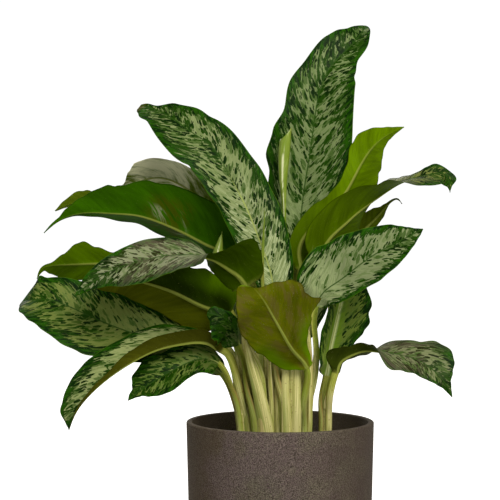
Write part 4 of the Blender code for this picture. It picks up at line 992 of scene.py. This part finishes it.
def underRecipe(start):
    # plain green with a pale raised midrib, faint side veins and the marks of the upper side showing through
    flow, spot, tint = (attribute(start, name) for name in ("flow", "spot", "tint"))
    q, x = parts(flow)[:2]
    t, edge, rib = parts(spot)
    fresh, stain, glow = parts(attribute(start, "mood"))
    worn = rise(parts(attribute(start, "mark"))[1], 0.7, 0.95)
    everywhere = rise(fresh, 0.94, 0.96)
    patch = streaks(flow, 150, 60, 3, 0.6, 0.4)
    blot = streaks(flow, 70, 90, 4, 0.65)
    cloud = streaks(flow, 34, 24)
    silk = streaks(flow, 500, 40, 3, 0.6)
    veins = (q * 640 + (cloud - 0.5) * 6).sine()
    freshSide = rise(x, 4 * mm, -4 * mm).larger(everywhere) * rise(edge, 0.3, 0.8) * fresh
    brown = rise(t, 0.3, 0.36) * rise(t, 0.56, 0.46) * rise(edge, 0.85, 0.5) * rise(patch, 0.42, 0.52) * stain
    # painted highlight: small pale glints inside the brown patch
    paintedGlints = brown * rise(edge, 0.5, 0.3) * rise(cloud + (silk - 0.5) * 0.2, 0.5, 0.6)
    # painted reflection: a silvery sheen on the underside
    paintedSheen = rise(blot * 0.6 + silk * 0.2 + patch * 0.2 + (cloud - 0.5) * 0.6, 0.36, 0.62)
    paintedSheen = paintedSheen * rise(t, 0.28, 0.42) * glow
    stalk, stripes = stalkColour(flow, spot)
    ribTint = mix(stripes, paint(156, 164, 78), paint(112, 128, 44))
    colour = coats(
        mix(rise(cloud, 0.3, 0.7), shade(tint, 0.72), shade(tint, 1.22)),
        # darker mottling, partly the leaf's own tone and partly painted shade of folds
        (rise(patch, 0.5, 0.66) * 0.35, shade(tint, 0.5)),
        (rise(blot, 0.47, 0.6) * worn * 0.6, (92, 82, 38)),
        (rise(blot, 0.46, 0.36) * worn * 0.4, (62, 78, 0)),
        (rise(silk, 0.45, 0.75) * 0.16, shade(tint, 1.5)),
        (rise(veins, 0.85, 1.0) * 0.12 * rise(edge, 0.98, 0.6), shade(tint, 1.7)),
        (rise(veins, -0.5, -1.0) * 0.10, shade(tint, 0.5)),
        # painted shade: below nought the base is darker
        (rise(t, 0.5, 0.2) * rise(fresh, 0.0, -0.5) * 0.7, shade(tint, 0.45)),
        (rise(streaks(flow, 900, 800, 1), 0.71, 0.75) * (worn * 0.3 + 0.3), (134, 138, 92)),  # dust
        (rise(t + (cloud - 0.5) * 0.2, 0.5, 0.22) * freshSide * 0.8, (90, 128, 0)),
        (rise(t + (cloud - 0.5) * 0.03, 0.92, 0.94) * everywhere * 0.85, (112, 146, 20)),
        (brown * 0.5, (76, 74, 8)),
        (paintedGlints * 0.6, (150, 158, 124)),
        (rise(edge, 0.95, 1.0) * 0.6, shade(tint, 0.35)),
        (paintedSheen * rise(t, 0.84, 0.7) * 0.95, (244, 242, 208)),
        (rise(rib, 0.95, 0.5) * rise(t, 0.98, 0.5) * 0.9, ribTint),
        (rise(t, 0.03, -0.03), stalk),
    )
    relief = veins * 0.12 * rise(edge, 0.05, 0.2) + silk * 0.2 + patch * 0.3
    rough = (cloud - 0.5) * 0.2 + 0.46
    return {"Base Color": colour, "Roughness": rough, "Normal": bump(relief, 0.5 * mm, 0.5)}


upperFinish = newFinish("leaf_upper_side", upperRecipe, Specular_IOR_Level=0.05)
underFinish = newFinish("leaf_underside", underRecipe, Specular_IOR_Level=0.01)
for number, (leafName, plan) in enumerate(leafPlans.items()):
    leafMesh = growLeaf("grown_" + leafName, {**usualLeaf, **plan}, number)
    newPiece("grown_" + leafName, leafMesh, leafName, (upperFinish, underFinish))
print("leaves done:", len(leafPlans))


# old sheaths that still stand round the canes, and a new shoot
sheathSizes = dict(rows=56, columns=19, edge=0.35, middle=1.0, fullFrom=4.0, green=0.55)

# bend: degrees that the shell turns on each side; green: how far up a stalk's colours it goes
# path: picture place, depth and half-width in millimetres, from the soil to the pointed end
oldSheaths = {
    "old_sheath_tall": dict(
        bend=62, path=[(267, 446, -28, 10.5), (265.5, 428, -29.5, 10.2), (262, 408, -31.5, 8.6),
            (257.5, 388, -35, 6.8), (252, 368, -40, 5.6), (247.5, 351, -45, 4.2), (243.5, 336, -47, 0.4)]),
    "old_sheath_middle": dict(
        bend=55, path=[(274, 446, -13, 5.6), (274, 426, -13, 5.4), (273.5, 404, -12, 5),
            (272, 380, -9, 4.4), (270, 352, -4, 0.6)]),
    "old_sheath_front": dict(
        bend=66, path=[(286.5, 446, -25.6, 6.8), (286.5, 426, -25.8, 6.2), (285.5, 402, -25.8, 5),
            (285.5, 378, -25.6, 4.6), (286, 345, -24.6, 0.6)]),
    "old_sheath_side": dict(
        bend=62, path=[(296, 446, -24.4, 6.6), (296, 426, -24.6, 6.6), (296.5, 402, -24.6, 6.4),
            (297, 376, -24, 5.2), (298, 340, -21, 0.6)]),
    "old_sheath_back": dict(
        bend=60, path=[(283, 446, 6, 7), (281, 420, 7, 7), (279, 390, 8, 6.6), (276, 350, 9, 5),
            (274, 322, 10, 0.6)]),
    "old_sheath_spike": dict(
        bend=50, path=[(308, 446, 2, 3), (309, 428, 2, 2.8), (311, 406, 1, 2.4), (312.5, 384, 0, 2),
            (313.5, 355, -1, 0.4)]),
    "new_spear": dict(
        bend=70, green=1.05, path=[(273, 446, -20, 2.8), (270, 380, -21, 2.6), (265.5, 320, -22, 2.4),
            (262.5, 282, -21, 2.2), (263, 245, -17, 1.7), (264.8, 211, -13, 0.3)]),
    "old_sheath_inner_left": dict(
        bend=50, path=[(248, 446, -8, 9), (245.5, 420, -8, 9), (242.5, 396, -8, 8), (239.5, 372, -7, 5.5),
            (237.5, 350, -6, 0.5)]),
    "old_sheath_inner_middle": dict(
        bend=56, path=[(279.5, 446, -16, 6), (279.5, 420, -16, 6), (278.5, 390, -15, 5.4),
            (277, 352, -13, 0.6)]),
    "old_sheath_left": dict(
        bend=58, path=[(250, 446, -14, 5.4), (248, 428, -14, 5), (244.5, 408, -13, 4.4),
            (240, 386, -11, 3.6), (235.5, 364, -9, 0.5)]),
}


def sheathRecipe(start):
    flow, spot = attribute(start, "flow"), attribute(start, "spot")
    colour, stripes = stalkColour(flow, spot)
    colour = mix(rise(parts(spot)[0], -0.4, 0.0) * 0.7, colour, paint(88, 116, 22))
    return {"Base Color": colour, "Normal": bump(stripes, 0.4 * mm, 0.6)}


def growSheath(name, plan, number):
    # a thin shell curved across its width that stands on its foot in the soil
    s = sheathSizes
    guides = [seenAt(*p[:3]) for p in plan["path"]]
    dense, travel, guideTravel = smoothPath(guides, unit(guides[1] - guides[0]))
    stops = np.linspace(0, travel[-1], s["rows"])
    place = along(travel, dense, stops)
    direction = unit(np.gradient(place, stops, axis=0))
    facing = square(np.array([0, -1.0, 0]), direction)
    across = np.cross(direction, facing)
    halfWidth = np.interp(stops, guideTravel, [p[3] for p in plan["path"]])[:, None]
    a = np.linspace(-1, 1, s["columns"])[None, :]
    bend = math.radians(plan["bend"])
    wall = s["edge"] + s["middle"] * (1 - a**2) * np.minimum(1, halfWidth / s["fullFrom"])
    sides = []
    for inward in (0, wall):
        radius = halfWidth / math.sin(bend) - inward
        x = radius * np.sin(a * bend)
        height = radius * np.cos(a * bend) - halfWidth / math.sin(bend)
        sides.append(place[:, None] + across[:, None] * x[..., None] + facing[:, None] * height[..., None])
    flow = onto(stops[:, None] * mm, a * halfWidth * mm, number * 2.11)
    spot = onto(stops[:, None] / travel[-1] * plan.get("green", s["green"]) - 1.0, np.abs(a), 1.0)
    return loftMesh(name, sides, flow, spot)


sheathFinish = newFinish("old_sheath_skin", sheathRecipe, Roughness=0.5, Specular_IOR_Level=0.2)
for number, (sheathName, plan) in enumerate(oldSheaths.items()):
    newPiece(sheathName, growSheath(sheathName, plan, number), finishes=[sheathFinish] * 2)
print("old sheaths done:", len(oldSheaths))


# young leaves, still rolled: wound so many turns, slim at the foot, swelling and tapering along the path
youngSizes = dict(
    rows=80, columns=46, wall=0.55, tighten=0.055, firstEdge=0.62, footSize=0.35, footShare=0.02)
youngPlans = {
    "young_leaf_tall": dict(
        cane="back_left", topGap=0.6, halfWidth=6.9, turns=1.3, mouth=0.058, tipBearing=8, slim=0.33,
        swellFrom=0.62, swellTo=0.9, taperFrom=0.93, tipSize=0.72,
        path=[(279, 300, 10), (283.5, 245, 11), (284, 205, 12), (283, 180, 12), (283.5, 160, 12),
            (285, 142, 11), (287.5, 127, 10)]),
    "young_leaf_short": dict(
        cane="left", topGap=0.6, halfWidth=6.2, turns=1.25, mouth=0.05, tipBearing=30, slim=0.45,
        swellFrom=0.5, swellTo=0.8, taperFrom=0.84, tipSize=0.05,
        path=[(232, 330, 4), (223.5, 285, 1), (217, 260, -1), (219, 247, -3), (222, 231, -4)]),
}


def rollLeaf(name, plan):
    # a thin sheet wound round its path, with a slanting mouth that ends in a point
    s = youngSizes
    _, begin, rising = caneLine(canes[plan["cane"]])
    begin = begin + np.array([0, 0, plan["topGap"]])
    dense, travel, _ = smoothPath([begin] + [seenAt(*p) for p in plan["path"]], unit(rising))
    winds = np.linspace(0, 2 * np.pi * plan["turns"], s["columns"])[None, :]
    bearing = winds - math.pi * s["firstEdge"]
    towards = 0.5 + 0.5 * np.cos(bearing - math.radians(plan["tipBearing"]))
    share = np.linspace(0, 1, s["rows"])[:, None] * (1 - plan["mouth"] * (1 - towards**1.5))
    stops = share * travel[-1]
    place = along(travel, dense, stops)
    direction = unit(along(travel, np.gradient(dense, travel, axis=0), stops))
    front = square(np.array([0, -1.0, 0]), direction)
    right = np.cross(direction, front)
    swell = ease((share - plan["swellFrom"]) / (plan["swellTo"] - plan["swellFrom"]))
    ending = np.clip((share - plan["taperFrom"]) / (1 - plan["taperFrom"]), 0, 1)
    size = plan["halfWidth"] * (plan["slim"] + (1 - plan["slim"]) * swell)
    size = size * (1 - (1 - plan["tipSize"]) * ending)
    size = size * (s["footSize"] + (1 - s["footSize"]) * ease(share / s["footShare"]))
    sides = []
    for shell in (0, s["wall"]):
        reach = np.maximum(size * (1 - s["tighten"] * (winds / np.pi - 1)) - shell, 0.05)
        x, out = reach * np.cos(bearing), reach * np.sin(bearing)
        sides.append(place + right * x[..., None] + front * out[..., None])
    flow = onto(stops * mm, size * winds * mm, 3.3)
    return loftMesh(name, sides, flow, onto(share, winds / winds.max(), 1.0))


def youngRecipe(start):
    # fresh yellow-green, paler down the roll, with fine lines along it, a light free margin and a long
    # painted highlight
    flow, spot = attribute(start, "flow"), attribute(start, "spot")
    share, wind = parts(spot)[:2]
    lines = streaks(flow, 30, 900, 3, 0.6)
    veil = streaks(flow, 60, 240)
    # painted highlight: a pale streak down the front of the roll
    paintedGloss = rise(abs(wind - 0.45), 0.035, 0.01) * rise(veil, 0.35, 0.5) * rise(share, 0.94, 0.86)
    colour = coats(
        mix(lines, paint(140, 162, 52), paint(96, 126, 20)),
        (rise(veil, 0.5, 0.7) * 0.3, (184, 200, 116)),
        (rise(share, 0.3, 0.02) * 0.4, (186, 188, 112)),
        (rise(wind, 0.06, 0.0) * 0.8, (208, 220, 130)),
        (paintedGloss * 0.75, (240, 244, 200)),
        (rise(share, 0.965, 1.0) * 0.7, (120, 132, 50)),
    )
    return {"Base Color": colour, "Normal": bump(lines, 0.3 * mm, 0.5)}


youngFinish = newFinish("young_leaf", youngRecipe, Roughness=0.32, Specular_IOR_Level=0.5)
for leafName, plan in youngPlans.items():
    leafMesh = rollLeaf("rolled_" + leafName, plan)
    newPiece("rolled_" + leafName, leafMesh, leafName, [youngFinish] * 2)
print("young leaves done:", len(youngPlans))


stage = dict(floorRadius=9.0, floorSides=96, floorHeight=-0.0003, worldLight=0.27, background=1.05)
lamps = {
    "key": dict(place=(0.75, -1.7, 1.9), target=0.35, size=1.5, power=54.0, colour=(1.0, 0.95, 0.84)),
    "fill": dict(place=(-1.9, -0.9, 1.2), target=0.3, size=1.6, power=5.0, colour=(1.0, 0.98, 0.95)),
    "behind": dict(place=(-0.7, 2.3, 1.9), target=0.3, size=1.6, power=28.0, colour=(1.0, 0.96, 0.88)),
}
frontCamera = dict(place=(-0.0353, -1.62, 0.4005), lens=99.2, sensor=36, clipEnd=60)


def floorRecipe(start):
    # seen directly it is as white as the background, but greyer near the pot as a painted contact shadow; the
    # light that it throws up is soft
    place = start.node("ShaderNodeTexCoord", out=3)
    across, deep = parts(place)[:2]
    # painted shadow: the floor seen directly is greyer close to the pot
    pastPaintedShadow = rise(across * across + deep * deep, 0.02, 0.35)
    seen = start.node("ShaderNodeLightPath", out="Is Camera Ray")
    glow = mix(seen, (0.1, 0.1, 0.1, 1), mix(pastPaintedShadow, (0.55, 0.55, 0.55, 1), (0.95, 0.95, 0.95, 1)))
    pale = mix(noise(place, 3.0), (0.62, 0.62, 0.61, 1), (0.66, 0.66, 0.65, 1))
    return {"Base Color": pale, "Emission Color": glow}


def makeFloor():
    mesh = bpy.data.meshes.new("studio_floor")
    turns = [2 * math.pi * i / stage["floorSides"] for i in range(stage["floorSides"])]
    reach = stage["floorRadius"]
    points = [(reach * math.cos(turn), reach * math.sin(turn), stage["floorHeight"]) for turn in turns]
    mesh.from_pydata(points, [], [tuple(range(len(points)))])
    mesh.materials.append(newFinish(
        "pale_floor", floorRecipe, Roughness=0.9, Specular_IOR_Level=0.1, Emission_Strength=1.0))
    newObject("studio_floor", mesh)


def makeWorld():
    # an even pale sky; the background that the camera sees is plain white
    world = bpy.data.worlds.new("studio")
    bpy.context.scene.world = world
    world.use_nodes = True
    tree = world.node_tree
    start = Wire(tree)
    sky, plain = (
        start.node("ShaderNodeBackground", None, {"Color": colour, "Strength": stage[key]})
        for colour, key in (((1, 0.975, 0.9, 1), "worldLight"), ((1, 1, 1, 1), "background")))
    seen = start.node("ShaderNodeLightPath", out="Is Camera Ray")
    both = start.node("ShaderNodeMixShader", None, {0: seen, 1: sky, 2: plain})
    tree.links.new(both.socket, tree.nodes["World Output"].inputs[0])


makeFloor()
makeWorld()
for lampName, plan in lamps.items():
    lamp = bpy.data.lights.new(lampName, "AREA")
    lamp.size = plan["size"]
    lamp.energy = plan["power"]
    lamp.color = plan["colour"]
    holder = newObject(lampName, lamp)
    holder.location = plan["place"]
    towards = Vector((0, 0, plan["target"])) - Vector(plan["place"])  # the height that it looks at
    holder.rotation_euler = towards.to_track_quat("-Z", "Y").to_euler()

lens = bpy.data.cameras.new("front_camera")
lens.lens = frontCamera["lens"]
lens.sensor_width = frontCamera["sensor"]
lens.clip_end = frontCamera["clipEnd"]
camera = newObject("front_camera", lens)
camera.location = frontCamera["place"]
camera.rotation_euler = (math.pi / 2, 0, 0)
bpy.context.scene.camera = camera
bpy.context.scene.view_settings.view_transform = "Standard"
print("stage done:", len(lamps), "lamps")
